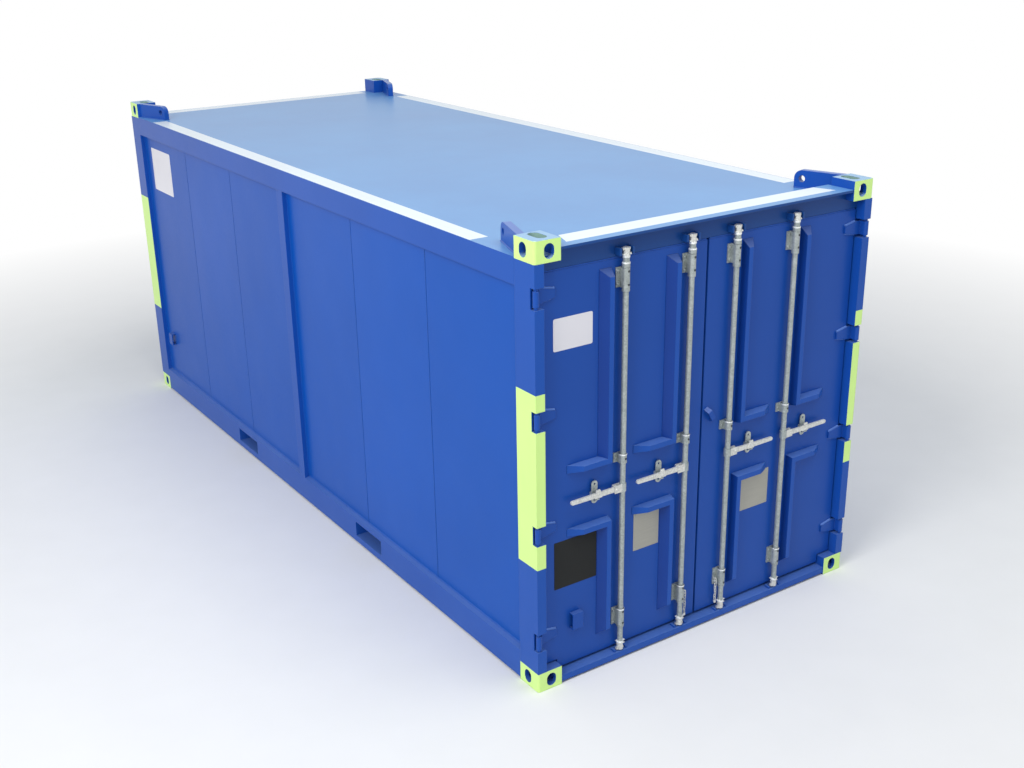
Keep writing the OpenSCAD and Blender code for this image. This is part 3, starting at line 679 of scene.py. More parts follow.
@dataclass(frozen=True)
class PaintFinish:
    """Sprayed two pack paint over steel."""

    title: str
    colour: Colour
    gloss: float = 0.30
    dust: float = 0.06
    # Painted sheen: a pale sky reflection laid on what faces up.
    painted_sheen: float = 0.13
    dust_and_sheen_colour: Colour = (0.50, 0.68, 0.86)
    uneven: float = 0.04
    wear: float = 0.12
    peel: float = 0.5
    waves: float = 0.10
    relief: float = 0.012
    specular: float = 0.22
    coat: float = 0.35
    coat_roughness: float = 0.27
    zones: tuple[tuple[Zone, Colour], ...] = ()
    sheet_change: float = 0.0

    def zoned(self, n: NodeTree, kit: ShaderKit) -> Value:
        """Lay the painted regions over the base colour, and tell the welded sheets apart.

        Args:
            n: the material's tree.
            kit: the shared shader groups.

        Returns:
            The colour, or its socket.
        """
        colour: Value = self.colour
        for zone, paint in self.zones:
            colour = n.mix(kit.zones.mask(n, zone), colour, paint)
        if self.sheet_change:
            odd = kit.zones.mask(n, Zone.ODD_SHEETS)
            level = n.span(odd, 0.0, 1.0, 1.0 - self.sheet_change, 1.0 + self.sheet_change)
            colour = n.toned(colour, level)
        return colour

    def material(self, kit: ShaderKit) -> Material:
        """Build the paint.

        Args:
            kit: the shared shader groups.

        Returns:
            The material.
        """
        sheet = MaterialSheet(self.title)
        n = sheet.nodes
        worn = kit.wear.place(n, Color=self.zoned(n, kit), Amount=self.wear)
        sheet.soil_and_sheen(
            kit, Color=worn["Color"], Dust_Color=self.dust_and_sheen_colour, Dust=self.dust, Haze=self.painted_sheen,
            Uneven=self.uneven, Gloss=self.gloss
        )
        coat = n.times(kit.zones.mask(n, Zone.UPWARD), self.coat)
        sheet.feed(Specular_IOR_Level=self.specular, Coat_Weight=coat, Coat_Roughness=self.coat_roughness)
        peel = kit.peel.place(n, Peel=self.peel, Waves=self.waves)
        sheet.bump(peel["Height"], self.relief, worn["Normal"])
        return sheet.material


@dataclass(frozen=True)
class ZincFinish:
    """Hot dip galvanised steel."""

    title: str
    colour: Colour = (0.36, 0.40, 0.39)
    metallic: float = 0.45
    bloom: float = 0.20
    end_colour: Colour | None = None
    spangle: float = 0.16
    edge_reach: float = 0.002
    relief: float = 0.0006

    def material(self, kit: ShaderKit) -> Material:
        """Build the zinc.

        Args:
            kit: the shared shader groups.

        Returns:
            The material.
        """
        sheet = MaterialSheet(self.title)
        n = sheet.nodes
        colour: Value = self.colour
        # The cams are painted pale as a highlight, and the handle's hub takes the handle's colour.
        if self.end_colour is not None:
            colour = n.mix(kit.zones.mask(n, Zone.ROD_ENDS), colour, self.end_colour)
        zinc = kit.zinc.place(n, Color=colour, Spangle=self.spangle, Bloom=self.bloom)
        edges = kit.wear.place(n, Color=zinc["Color"], Amount=0.0, Reach=self.edge_reach)
        sheet.feed(Base_Color=edges["Color"], Roughness=zinc["Roughness"], Metallic=self.metallic)
        sheet.bump(zinc["Height"], self.relief, edges["Normal"])
        return sheet.material


@dataclass(frozen=True)
class RubberFinish:
    """Black weather strip, painted over on its outer, upper and lower runs."""

    title: str
    paint: Colour
    colour: Colour = (0.018, 0.019, 0.021)
    relief: float = 0.01

    def material(self, kit: ShaderKit) -> Material:
        """Build the rubber.

        Args:
            kit: the shared shader groups.

        Returns:
            The material.
        """
        sheet = MaterialSheet(self.title)
        n = sheet.nodes
        colour = n.mix(kit.zones.mask(n, Zone.OVERSPRAY), self.colour, self.paint)
        sheet.soil_and_sheen(kit, Color=colour, Dust=0.1, Uneven=0.2, Gloss=0.6)
        sheet.bump(kit.peel.place(n, Peel=1.0, Waves=0.05)["Height"], self.relief)
        return sheet.material


@dataclass(frozen=True)
class PlywoodFinish:
    """Sealed plywood floor with its grain along the box and joints across it."""

    title: str
    dark: Colour = (0.28, 0.16, 0.08)
    pale: Colour = (0.40, 0.25, 0.13)
    joint_colour: Colour = (0.03, 0.02, 0.012)
    board: float = 1.16
    joint_share: float = 0.004
    grain: Point = (60.0, 3.0, 60.0)
    relief: float = 0.0008

    def material(self, kit: ShaderKit) -> Material:
        """Build the plywood.

        Args:
            kit: the shared shader groups.

        Returns:
            The material.
        """
        sheet = MaterialSheet(self.title)
        n = sheet.nodes
        grain = n.noise(n.stretched(self.grain), scale=1.0, detail=6.0, roughness=0.6)
        wood = n.mix(n.span(grain, 0.3, 0.7), self.dark, self.pale)
        along = n.math("FRACT", n.math("DIVIDE", n.split(n.where())["Y"], self.board))
        boards = n.mix(n.under(along, self.joint_share), wood, self.joint_colour)
        sheet.soil_and_sheen(kit, Color=boards, Dust=0.25, Uneven=0.12, Gloss=0.5)
        sheet.bump(grain, self.relief)
        return sheet.material


@dataclass(frozen=True)
class PlateFinish:
    """Metal or vinyl sheet with fine lines along X."""

    title: str
    colour: Colour
    metallic: float = 0.0
    gloss: float = 0.35
    brushed: float = 0.1
    relief: float = 0.0002

    def material(self, kit: ShaderKit) -> Material:
        """Build the plate.

        Args:
            kit: the shared shader groups.

        Returns:
            The material.
        """
        sheet = MaterialSheet(self.title)
        lined = kit.lines.place(sheet.nodes, Color=self.colour, Brushed=self.brushed)
        sheet.soil_and_sheen(kit, Color=lined["Color"], Dust=0.2, Uneven=0.06, Gloss=self.gloss)
        sheet.feed(Metallic=self.metallic)
        sheet.bump(lined["Height"], self.relief)
        return sheet.material


class MeshMaker:
    """Gathers the solids of one piece and turns them into an object."""

    ring_steps: int = 32
    bend_steps: int = 16
    wire_sides: int = 6
    bead_step: float = 0.012
    # Place across a bead and height over its foot, as shares of its width and height.
    bead_section: tuple[Pair, ...] = ((-0.5, 0.0), (-0.34, 0.7), (0.0, 1.0), (0.34, 0.7), (0.5, 0.0))
    ripple: float = 0.16
    unevenness: float = 0.08
    corner_steps: int = 5
    dome: float = 0.55
    # A washer's height, radius and rim, as shares of its bolt's height, width and height.
    washer: Point = (0.25, 0.75, 0.08)
    # A bolt head's foot and rim, as shares of its height, and its radius as one of its width.
    bolt_head: Point = (0.2, 0.12, 0.577)
    sharp_angle: float = math.radians(35)

    def __init__(self, title: str) -> None:
        """Start an empty piece.

        Args:
            title: the piece's name.
        """
        self.title = title
        self.mesh = bmesh.new()

    def soften(self, edges: list[bmesh.types.BMEdge], width: float) -> None:
        """Round edges off."""
        bmesh.ops.bevel(self.mesh, geom=edges, offset=width, segments=2, affect="EDGES", profile=0.5)

    def stitch(self, rows: list[list[bmesh.types.BMVert]]) -> None:
        """Join each closed row of corners to the next with a band of faces.

        Args:
            rows: the rows, in order, with as many corners in each.
        """
        for here, there in zip(rows, rows[1:]):
            for k, corner in enumerate(here):
                m = (k + 1) % len(here)
                self.mesh.faces.new((corner, there[k], there[m], here[m]))

    def block(self, low: Point, high: Point, bevel: float) -> None:
        """Add a block with softened edges.

        Args:
            low: its lowest corner.
            high: its highest corner.
            bevel: the width of its softened edges.
        """
        made = bmesh.ops.create_cube(self.mesh, size=1.0)["verts"]
        size = Vector(high) - Vector(low)
        middle = (Vector(high) + Vector(low)) / 2
        for v in made:
            v.co = v.co * size + middle
        self.soften(list(dict.fromkeys(e for v in made for e in v.link_edges)), bevel)

    def rod(self, start: Point, end: Point, radius: float, sides: int, bevel: float = 0.0) -> None:
        """Add a round or many sided bar between two points.

        Args:
            start: the middle of one end.
            end: the middle of the other end.
            radius: its radius.
            sides: how many sides it has.
            bevel: the width of the softened rim at each end.
        """
        a, b = Vector(start), Vector(end)
        made = bmesh.ops.create_cone(
            self.mesh, cap_ends=True, segments=sides, radius1=radius, radius2=radius,
            depth=(b - a).length, matrix=aimed((a + b) / 2, b - a)
        )["verts"]
        if bevel:
            edges = dict.fromkeys(e for v in made for e in v.link_edges)
            rims = [e for e in edges if any(len(f.verts) > 4 for f in e.link_faces)]
            self.soften(rims, bevel)

    def bolt(self, seat: Point, out: Point, width: float, height: float) -> None:
        """Add a hexagon bolt head on a washer.

        Args:
            seat: the middle of its seat.
            out: the direction it stands out in.
            width: the size across the head's flats.
            height: how far it stands out.
        """
        a, d = Vector(seat), Vector(out).normalized() * height
        thick, radius, rim = self.washer
        self.rod(a, a + d * thick, width * radius, sides=20, bevel=height * rim)
        foot, rim, radius = self.bolt_head
        self.rod(a + d * foot, a + d, width * radius, sides=6, bevel=height * rim)

    def ring(self, foot: Point, inner: float, outer: float, height: float, soft: float) -> None:
        """Add an upright ring with softened outer rims.

        Args:
            foot: the middle of its lower face.
            inner: its inner radius.
            outer: its outer radius.
            height: its height.
            soft: the width of its softened rims.
        """
        section = (
            (inner, 0.0), (outer - soft, 0.0), (outer, soft),
            (outer, height - soft), (outer - soft, height), (inner, height)
        )
        rows = []
        for i in range(self.ring_steps):
            angle = 2 * math.pi * i / self.ring_steps
            across = Vector((math.cos(angle), math.sin(angle), 0.0))
            rows.append([self.mesh.verts.new(Vector(foot) + across * r + UP * z) for r, z in section])
        self.stitch(rows + rows[:1])

    def link(self, middle: Point, length: float, width: float, wire: float, edge_on: bool) -> None:
        """Add an upright chain link.

        Args:
            middle: its middle.
            length: its outer length.
            width: its outer width.
            wire: the thickness of its wire.
            edge_on: whether it is turned edge on.
        """
        bend = (width - wire) / 2
        run = (length - width) / 2
        wide, thin = Vector((1, 0, 0)), Vector((0, 1, 0))
        if edge_on:
            wide, thin = thin, wide
        turns = [2 * math.pi * k / self.wire_sides for k in range(self.wire_sides)]
        rows = []
        for i in range(self.bend_steps):
            angle = 2 * math.pi * (i + 0.5) / self.bend_steps
            out = wide * math.cos(angle) + UP * math.sin(angle)
            place = Vector(middle) + out * bend + UP * math.copysign(run, math.sin(angle))
            rows.append([
                self.mesh.verts.new(place + (out * math.cos(turn) + thin * math.sin(turn)) * wire / 2)
                for turn in turns
            ])
        self.stitch(rows + rows[:1])

    def rivet(self, seat: Point, out: Point, radius: float) -> None:
        """Add a low domed rivet head.

        Args:
            seat: the middle of its seat.
            out: the direction it stands out in.
            radius: its radius.
        """
        place = aimed(Vector(seat), Vector(out)) @ Matrix.Diagonal((1.0, 1.0, self.dome, 1.0))
        bmesh.ops.create_uvsphere(self.mesh, u_segments=12, v_segments=8, radius=radius, matrix=place)

    def bead(self, start: Point, end: Point, out: Point, size: Pair, seed: int) -> None:
        """Add a weld bead with the ripple of its passes.

        Args:
            start: where the bead starts.
            end: where it ends.
            out: the direction it stands out in.
            size: its width, and how far it stands out.
            seed: sets its small unevenness.
        """
        rng = random.Random(seed)
        a, b = Vector(start), Vector(end)
        up = Vector(out).normalized()
        across = (b - a).normalized().cross(up)
        steps = max(2, int((b - a).length / self.bead_step))
        rows = []
        for i in range(steps + 1):
            swell = 1.0 + self.ripple * (i % 2) + rng.uniform(-self.unevenness, self.unevenness)
            middle = a.lerp(b, i / steps)
            rows.append([
                self.mesh.verts.new(middle + across * (s * size[0] * swell) + up * (h * size[1] * swell))
                for s, h in self.bead_section
            ])
        self.stitch(rows)
        self.mesh.faces.new(rows[0][::-1])
        self.mesh.faces.new(rows[-1])

    def plate(self, low: Point, high: Point, radius: float) -> None:
        """Add a thin plate with rounded corners that faces a Y or an X side.

        Args:
            low: its lowest corner.
            high: its highest corner.
            radius: the rounding of its corners.
        """
        lo, hi = Vector(low), Vector(high)
        wide, thin = (0, 1) if hi.y - lo.y < hi.x - lo.x else (1, 0)
        outline = []
        corners = ((hi, hi, 0), (lo, hi, 90), (lo, lo, 180), (hi, lo, 270))
        for side, level, start in corners:
            across = side[wide] - math.copysign(radius, side[wide] - (lo[wide] + hi[wide]) / 2)
            rise = level.z - math.copysign(radius, level.z - (lo.z + hi.z) / 2)
            for i in range(self.corner_steps + 1):
                angle = math.radians(start + 90 * i / self.corner_steps)
                outline.append((across + radius * math.cos(angle), rise + radius * math.sin(angle)))
        layers = []
        for depth in (hi[thin], lo[thin]):
            ring = []
            for across, rise in outline:
                place = Vector((0.0, 0.0, rise))
                place[wide] = across
                place[thin] = depth
                ring.append(self.mesh.verts.new(place))
            layers.append(ring)
        self.stitch(layers)
        self.mesh.faces.new(layers[0][::-1])
        self.mesh.faces.new(layers[1])

    def finish(self, material: Material, body: Body | str, slot: Slot) -> None:
        """Close the piece, give it its finish and let it ride.

        Args:
            material: its finish.
            body: the body it moves with.
            slot: the record's slot that its finish stands for; not used.
        """
        bmesh.ops.recalc_face_normals(self.mesh, faces=self.mesh.faces)
        data = bpy.data.meshes.new(self.title)
        self.mesh.to_mesh(data)
        self.mesh.free()
        data.materials.append(material)
        piece = bpy.data.objects.new(self.title, data)
        bpy.context.scene.collection.objects.link(piece)
        data.shade_smooth()
        data.set_sharp_from_angle(angle=self.sharp_angle)
        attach(piece, body.value if isinstance(body, Body) else body)
        LOG.info("piece %s", self.title)


@dataclass
class Finishes:
    """Every finish of the container."""

    kit: ShaderKit
    blue: Colour = linear(0.088, 0.312, 0.668)
    # The walls' blue is painted a little lighter and greener, and the leaves' blue a little darker, than
    # the plain blue: painted light and shade on the same paint.
    lit_wall_blue: Colour = linear(0.050, 0.318, 0.685)
    shaded_leaf_blue: Colour = linear(0.090, 0.297, 0.645)
    strap_highlight_blue: Colour = linear(0.340, 0.490, 0.790)
    ridge_shade_blue: Colour = linear(0.060, 0.235, 0.560)
    header_shade_blue: Colour = linear(0.090, 0.275, 0.540)
    lime: Colour = linear(0.835, 0.972, 0.580)
    white: Colour = linear(0.940, 0.905, 0.900)
    plate_grey: Colour = linear(0.66, 0.65, 0.61)
    vinyl_white: Colour = linear(0.90, 0.89, 0.91)
    slate_grey: Colour = linear(0.105, 0.112, 0.112)
    bright: Colour = (0.66, 0.66, 0.62)
    grey: Colour = (0.40, 0.44, 0.42)
    # Near white, for zinc painted pale as a highlight on bearing rims and cam collars.
    lit_silver: Colour = (0.86, 0.88, 0.87)
    iron: Colour = (0.05, 0.055, 0.06)

    def __post_init__(self) -> None:
        """Build the materials."""
        self.make_paints()
        self.make_metals()
        self.rubber = RubberFinish("rubber", self.blue).material(self.kit)
        self.plywood = PlywoodFinish("plywood").material(self.kit)
        plate = PlateFinish("data_plate", self.plate_grey, metallic=0.3, gloss=0.5)
        self.data_plate = plate.material(self.kit)
        self.vinyl = PlateFinish("vinyl", self.vinyl_white, brushed=0.01).material(self.kit)
        self.slate = PlateFinish("matt_black", self.slate_grey, gloss=0.9, brushed=0.06).material(self.kit)

    def make_paints(self) -> None:
        """Build the paints, most of them as changes of the plain one."""
        kit = self.kit
        plain = PaintFinish("blue_paint", self.blue)
        self.paint = plain.material(kit)
        self.wall = PaintFinish(
            "wall_paint", self.lit_wall_blue, wear=0.0, waves=0.45, specular=0.17, sheet_change=0.014
        ).material(kit)
        self.leaf = PaintFinish("door_paint", self.shaded_leaf_blue, dust=0.02, waves=0.2).material(kit)
        # A pale blue that paints highlights along the hinge straps' edges.
        self.strap_highlight = PaintFinish("strap_highlight_paint", self.strap_highlight_blue, wear=0.3).material(kit)
        # The header's keepers are painted in the darker blue, as painted shade.
        self.keeper_shade = PaintFinish("keeper_shade_paint", self.header_shade_blue, painted_sheen=0.05).material(kit)
        corner = replace(plain, title="corner_paint", zones=((Zone.CASTING, self.lime),))
        self.corner = corner.material(kit)
        # The top castings carry a strong painted sheen, a pale sky reflection on their tops.
        sheened = replace(corner, title="sky_sheen_corner_paint", painted_sheen=0.62, dust_and_sheen_colour=(0.56, 0.84, 0.90))
        self.sky_sheen_corner = sheened.material(kit)
        self.post = replace(plain, title="post_paint", zones=((Zone.BAND, self.lime),)).material(kit)
        # The ridges' sideways slopes and upper caps are painted darker, as painted shade.
        ridge = replace(plain, title="ridge_paint", zones=((Zone.RIDGE_SHADE, self.ridge_shade_blue),))
        self.ridge = ridge.material(kit)
        # The roof carries a strong painted sheen, a pale sky reflection on what faces up, in the colour
        # that its dust takes too.
        roof = replace(
            plain, title="roof_paint", dust=0.08, painted_sheen=0.36, dust_and_sheen_colour=(0.36, 0.78, 1.0),
            waves=0.25, coat=0.5, zones=((Zone.STRIPES, self.white),)
        )
        self.roof = roof.material(kit)
        # The header's face towards the doors is painted darker, as painted shade.
        front = (Zone.DOOR_END, self.header_shade_blue)
        self.header = replace(roof, title="header_paint", zones=(front, *roof.zones)).material(kit)

    def make_metals(self) -> None:
        """Build the zinc coats and the bare steel."""
        kit = self.kit
        self.zinc = ZincFinish("zinc").material(kit)
        self.rod_zinc = ZincFinish("rod_zinc", end_colour=self.bright).material(kit)
        self.bright_zinc = ZincFinish("bright_zinc", self.bright, metallic=0.25, bloom=0.4).material(kit)
        self.catch_zinc = ZincFinish("catch_zinc", self.grey, metallic=0.35, bloom=0.3).material(kit)
        self.lit_zinc = ZincFinish("lit_zinc", self.lit_silver, metallic=0.3, bloom=0.5).material(kit)
        self.dark_steel = ZincFinish("dark_steel", self.iron, metallic=0.4, bloom=0.0).material(kit)


def dress(material: Material, *names: str) -> None:
    """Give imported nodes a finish.

    Args:
        material: the finish.
        *names: the nodes' names.
    """
    for name in names:
        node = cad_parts[name]
        node.data.materials.clear()
        node.data.materials.append(material)
        LOG.info("dressed %s", name)


@dataclass
class BoxFrame:
    """Castings, posts, rails, header and sill."""

    finishes: Finishes
    eye_t: float = 0.044
    eye_l: float = 0.316
    eye_root: Pair = (1.175, 2.851)
    eye_turn: float = math.radians(19)
    fillet: Pair = (0.010, 0.005)

    def build(self) -> None:
        """Dress the frame's nodes and add its welds."""
        f = self.finishes
        dress(f.sky_sheen_corner, "top_corner_castings")
        dress(f.corner, "bottom_corner_castings")
        dress(f.post, "door_posts", "rear_corner_posts")
        dress(f.roof, "top_side_rails", "rear_top_rail")
        dress(f.header, "door_header")
        dress(f.keeper_shade, "header_keepers")
        dress(f.paint, "lifting_eyes", "mid_side_posts", "bottom_side_rails", "rear_bottom_rail")
        dress(f.paint, "door_sill", "floor_cross_members", "fork_pockets")
        dress(f.paint, "sill_keepers", "side_rope_eyes", "hinge_pins")
        dress(f.plywood, "floor_boards")
        self.eye_welds()

    def eye_welds(self) -> None:
        """Add the fillets at the foot of the lifting eyes."""
        welds = MeshMaker("lifting_eye_welds")
        for i, (sx, sy) in enumerate(((-1, -1), (1, -1), (-1, 1), (1, 1))):
            root = Vector((sx * self.eye_root[0], sy * self.eye_root[1], BOX.roof_z))
            along = Vector((-sx * math.sin(self.eye_turn), -sy * math.cos(self.eye_turn), 0.0))
            across = along.cross(UP)
            for face in (-1, 1):
                edge = root + across * (face * self.eye_t / 2)
                seed = 50 + 2 * i + face
                welds.bead(edge, edge + along * self.eye_l, across * face + UP, self.fillet, seed)
        welds.finish(self.finishes.paint, Body.FRAME, Slot.BLUE)


@dataclass
class Walls:
    """Side walls, end wall and roof, with the welds that join their sheets."""

    finishes: Finishes
    low: float = 0.198
    high: float = 2.332
    end_x: float = 1.129
    end_y: float = 2.994
    end_seams: Pair = (-0.38, 0.38)
    post_y: float = 2.851
    mid_post: float = 0.045
    seam: Pair = (0.009, 0.0009)
    fillet: Pair = (0.009, 0.004)
    sticker: Rect = (2.27, 1.884, 2.71, 2.240)
    sticker_t: float = 0.0008
    sticker_round: float = 0.012

    def build(self) -> None:
        """Dress the sheets, and add the seams and the side's sticker."""
        f = self.finishes
        dress(f.wall, "left_side_wall", "right_side_wall", "end_wall")
        dress(f.roof, "roof_sheet")
        self.weld_seams()
        self.weld_edges()
        y0, z0, y1, z1 = self.sticker
        sticker = MeshMaker("side_sticker")
        near, far = (-BOX.wall_x - self.sticker_t, y0, z0), (-BOX.wall_x + BOX.sunk, y1, z1)
        sticker.plate(near, far, self.sticker_round)
        sticker.finish(f.vinyl, Body.FRAME, Slot.BLUE)

    def weld_seams(self) -> None:
        """Add the beads where two sheets of a wall meet."""
        seams = MeshMaker("wall_seams")
        for side in (-1, 1):
            x = side * BOX.wall_x
            for i, y in enumerate(BOX.wall_seams):
                seams.bead((x, y, self.low), (x, y, self.high), (side, 0, 0), self.seam, i)
        for i, x in enumerate(self.end_seams, 9):
            seams.bead((x, self.end_y, self.low), (x, self.end_y, self.high), (0, 1, 0), self.seam, i)
        seams.finish(self.finishes.wall, Body.FRAME, Slot.BLUE)

    def weld_edges(self) -> None:
        """Add the fillets where the walls meet their posts and rails."""
        fillets = MeshMaker("wall_edge_welds")
        low, high, end_y = self.low, self.high, self.end_y
        for side in (-1, 1):
            x = side * BOX.wall_x
            for end in (-1, 1):
                near, far = end * self.mid_post, end * self.post_y
                for start, stop, out, seed in (
                    ((near, low), (near, high), (side, end, 0), 20),
                    ((far, low), (far, high), (side, -end, 0), 24),
                    ((near, high), (far, high), (side, 0, -1), 28),
                    ((near, low), (far, low), (side, 0, 1), 32),
                ):
                    fillets.bead((x, *start), (x, *stop), out, self.fillet, seed + end)
            edge = side * self.end_x
            fillets.bead((edge, end_y, low), (edge, end_y, high), (-side, 1, 0), self.fillet, 36 + side)
        for z, up in ((low, 1), (high, -1)):
            start, stop = (-self.end_x, end_y, z), (self.end_x, end_y, z)
            fillets.bead(start, stop, (0, 1, up), self.fillet, 40 + up)
        fillets.finish(self.finishes.wall, Body.FRAME, Slot.BLUE)


@dataclass
class Door:
    """One door leaf with its plates and fastenings.

    A plate's box holds its low X, low Z, high X and high Z.
    """

    finishes: Finishes
    side: int
    leaf_x: float = 1.151
    leaf_z: Pair = (0.074, 2.405)
    casting_x: float = 1.057
    seam_x: float = -0.020
    lip_start: float = 0.010
    lip_y: Pair = (0.003, 0.017)
    lip_round: float = 0.0025
    # A lip's foot and head from the leaf's edge, and how far it stops short of its outer end.
    upper_lip: Point = (-0.001, 0.0075, 0.006)
    lower_lip: Point = (-0.0055, 0.001, 0.012)
    strap_z: tuple[float, ...] = (0.313, 0.973, 1.633, 2.293)
    strap_x: Pair = (1.148, 1.061)
    strap_half: Pair = (0.0395, 0.0235)
    upper_bead: Pair = (0.015, 0.008)
    lower_bead: Pair = (0.010, 0.005)
    plate_t: float = 0.0012
    sticker_t: float = 0.0008
    plate_round: float = 0.004
    sticker_round: float = 0.010
    rivet_inset: float = 0.012
    rivet_r: float = 0.004
    matt_square: Rect = (-1.066, 0.577, -0.775, 0.868)
    sticker: Rect = (-1.066, 1.973, -0.812, 2.150)
    left_plate: Rect = (-0.509, 0.645, -0.322, 0.885)
    right_plate: Rect = (0.322, 0.655, 0.550, 0.890)

    @property
    def body(self) -> Body:
        """Body that the leaf's pieces ride on."""
        return Body.LEFT_DOOR if self.side < 0 else Body.RIGHT_DOOR

    @property
    def word(self) -> str:
        """Which door it is, for names."""
        return "left" if self.side < 0 else "right"

    def dress_nodes(self) -> None:
        """Give the leaf's nodes their finishes."""
        f, w = self.finishes, self.word
        dress(f.leaf, f"{w}_door_leaf", f"{w}_door_hinges")
        dress(f.leaf, "left_door_rope_eye" if self.side < 0 else "right_door_hand_hold")
        dress(f.ridge, f"{w}_door_ridges")
        dress(f.rubber, f"{w}_door_gasket")
        dress(f.zinc, f"{w}_door_bearings")
        dress(f.catch_zinc, f"{w}_door_catches")

    def panel(self, title: str, box: Rect, material: Material, radius: float, thick: float) -> None:
        """Add a flat plate or sticker on the leaf.

        Args:
            title: its name.
            box: its place.
            material: its finish.
            radius: the rounding of its corners.
            thick: how thick it is.
        """
        x0, z0, x1, z1 = box
        maker = MeshMaker(title)
        maker.plate((x0, BOX.skin_y - thick, z0), (x1, BOX.skin_y + BOX.sunk, z1), radius)
        maker.finish(material, self.body, Slot.BLUE)

    def rivets(self, title: str, box: Rect) -> None:
        """Add a rivet near each corner of a plate.

        Args:
            title: the piece's name.
            box: the plate's place.
        """
        x0, z0, x1, z1 = box
        inset = self.rivet_inset
        maker = MeshMaker(title)
        for x in (x0 + inset, x1 - inset):
            for z in (z0 + inset, z1 - inset):
                maker.rivet((x, BOX.skin_y - self.plate_t, z), FRONT, self.rivet_r)
        maker.finish(self.finishes.zinc, self.body, Slot.ZINC)

    def seal_lips(self) -> None:
        """Add the painted lips of the seal in the gaps over and under the leaf."""
        low, high = self.leaf_z
        inner = self.seam_x + self.side * self.lip_start
        near, far = (BOX.skin_y + y for y in self.lip_y)
        lip = MeshMaker(f"{self.word}_seal_lip")
        for edge, end, (foot, head, short) in (
            (high, self.leaf_x, self.upper_lip), (low, self.casting_x, self.lower_lip)
        ):
            left, right = sorted((inner, self.side * (end - short)))
            lip.block((left, near, edge + foot), (right, far, edge + head), self.lip_round)
        lip.finish(self.finishes.rubber, self.body, Slot.RUBBER)

    def strap_welds(self) -> None:
        """Add the beads along the upper and lower edges of the hinge straps."""
        welds = MeshMaker(f"{self.word}_hinge_welds")
        (near, far), (wide, slim) = self.strap_x, self.strap_half
        for i, z in enumerate(self.strap_z):
            for up, size in ((-1, self.lower_bead), (1, self.upper_bead)):
                start = (self.side * near, BOX.skin_y, z + up * wide)
                end = (self.side * far, BOX.skin_y, z + up * slim)
                welds.bead(start, end, (0, -1, up), size, 60 + 2 * i + up)
        # The beads are painted pale, as highlights along the straps' edges.
        welds.finish(self.finishes.strap_highlight, self.body, Slot.BLUE)

    def build(self) -> None:
        """Dress the leaf and add its seal lips, welds and plates."""
        f, w = self.finishes, self.word
        self.dress_nodes()
        self.seal_lips()
        self.strap_welds()
        if self.side < 0:
            self.panel("matt_square", self.matt_square, f.slate, self.plate_round, self.plate_t)
            self.panel("door_sticker", self.sticker, f.vinyl, self.sticker_round, self.sticker_t)
        plate = self.left_plate if self.side < 0 else self.right_plate
        self.panel(f"{w}_data_plate", plate, f.data_plate, self.plate_round, self.plate_t)
        self.rivets(f"{w}_plate_rivets", plate)


@dataclass
class SealChain:
    """Safety chain of a seal pin, hung beside a low bearing."""

    title: str
    x: float
    y: float = -3.001
    top: float = 0.262
    links: int = 8
    pitch: float = 0.0185
    sway: float = 0.0015
    sway_turn: float = 1.7
    link_size: Point = (0.0285, 0.018, 0.005)
    pin_rise: float = 0.3
    pin_r: float = 0.008
    pin_l: float = 0.016
    pin_round: float = 0.002
    hook_r: float = 0.0035
    hook_rise: float = 0.008
    hook_out: float = 0.004

    def build(self, material: Material, door: Body) -> None:
        """Add the links, the pin that hangs from them and the hook they hang from.

        Args:
            material: the chain's finish.
            door: the body that carries it.
        """
        chain = MeshMaker(self.title)
        for i in range(self.links):
            x = self.x + self.sway * math.sin(self.sway_turn * i)
            place = (x, self.y, self.top - i * self.pitch)
            chain.link(place, *self.link_size, i % 2 == 1)
        head = self.top - (self.links - self.pin_rise) * self.pitch
        foot = (self.x, self.y, head - self.pin_l)
        chain.rod((self.x, self.y, head), foot, self.pin_r, sides=14, bevel=self.pin_round)
        z = self.top + self.hook_rise
        chain.rod((self.x, BOX.foot_y, z), (self.x, self.y - self.hook_out, z), self.hook_r, sides=10)
        chain.finish(material, door, Slot.ZINC)


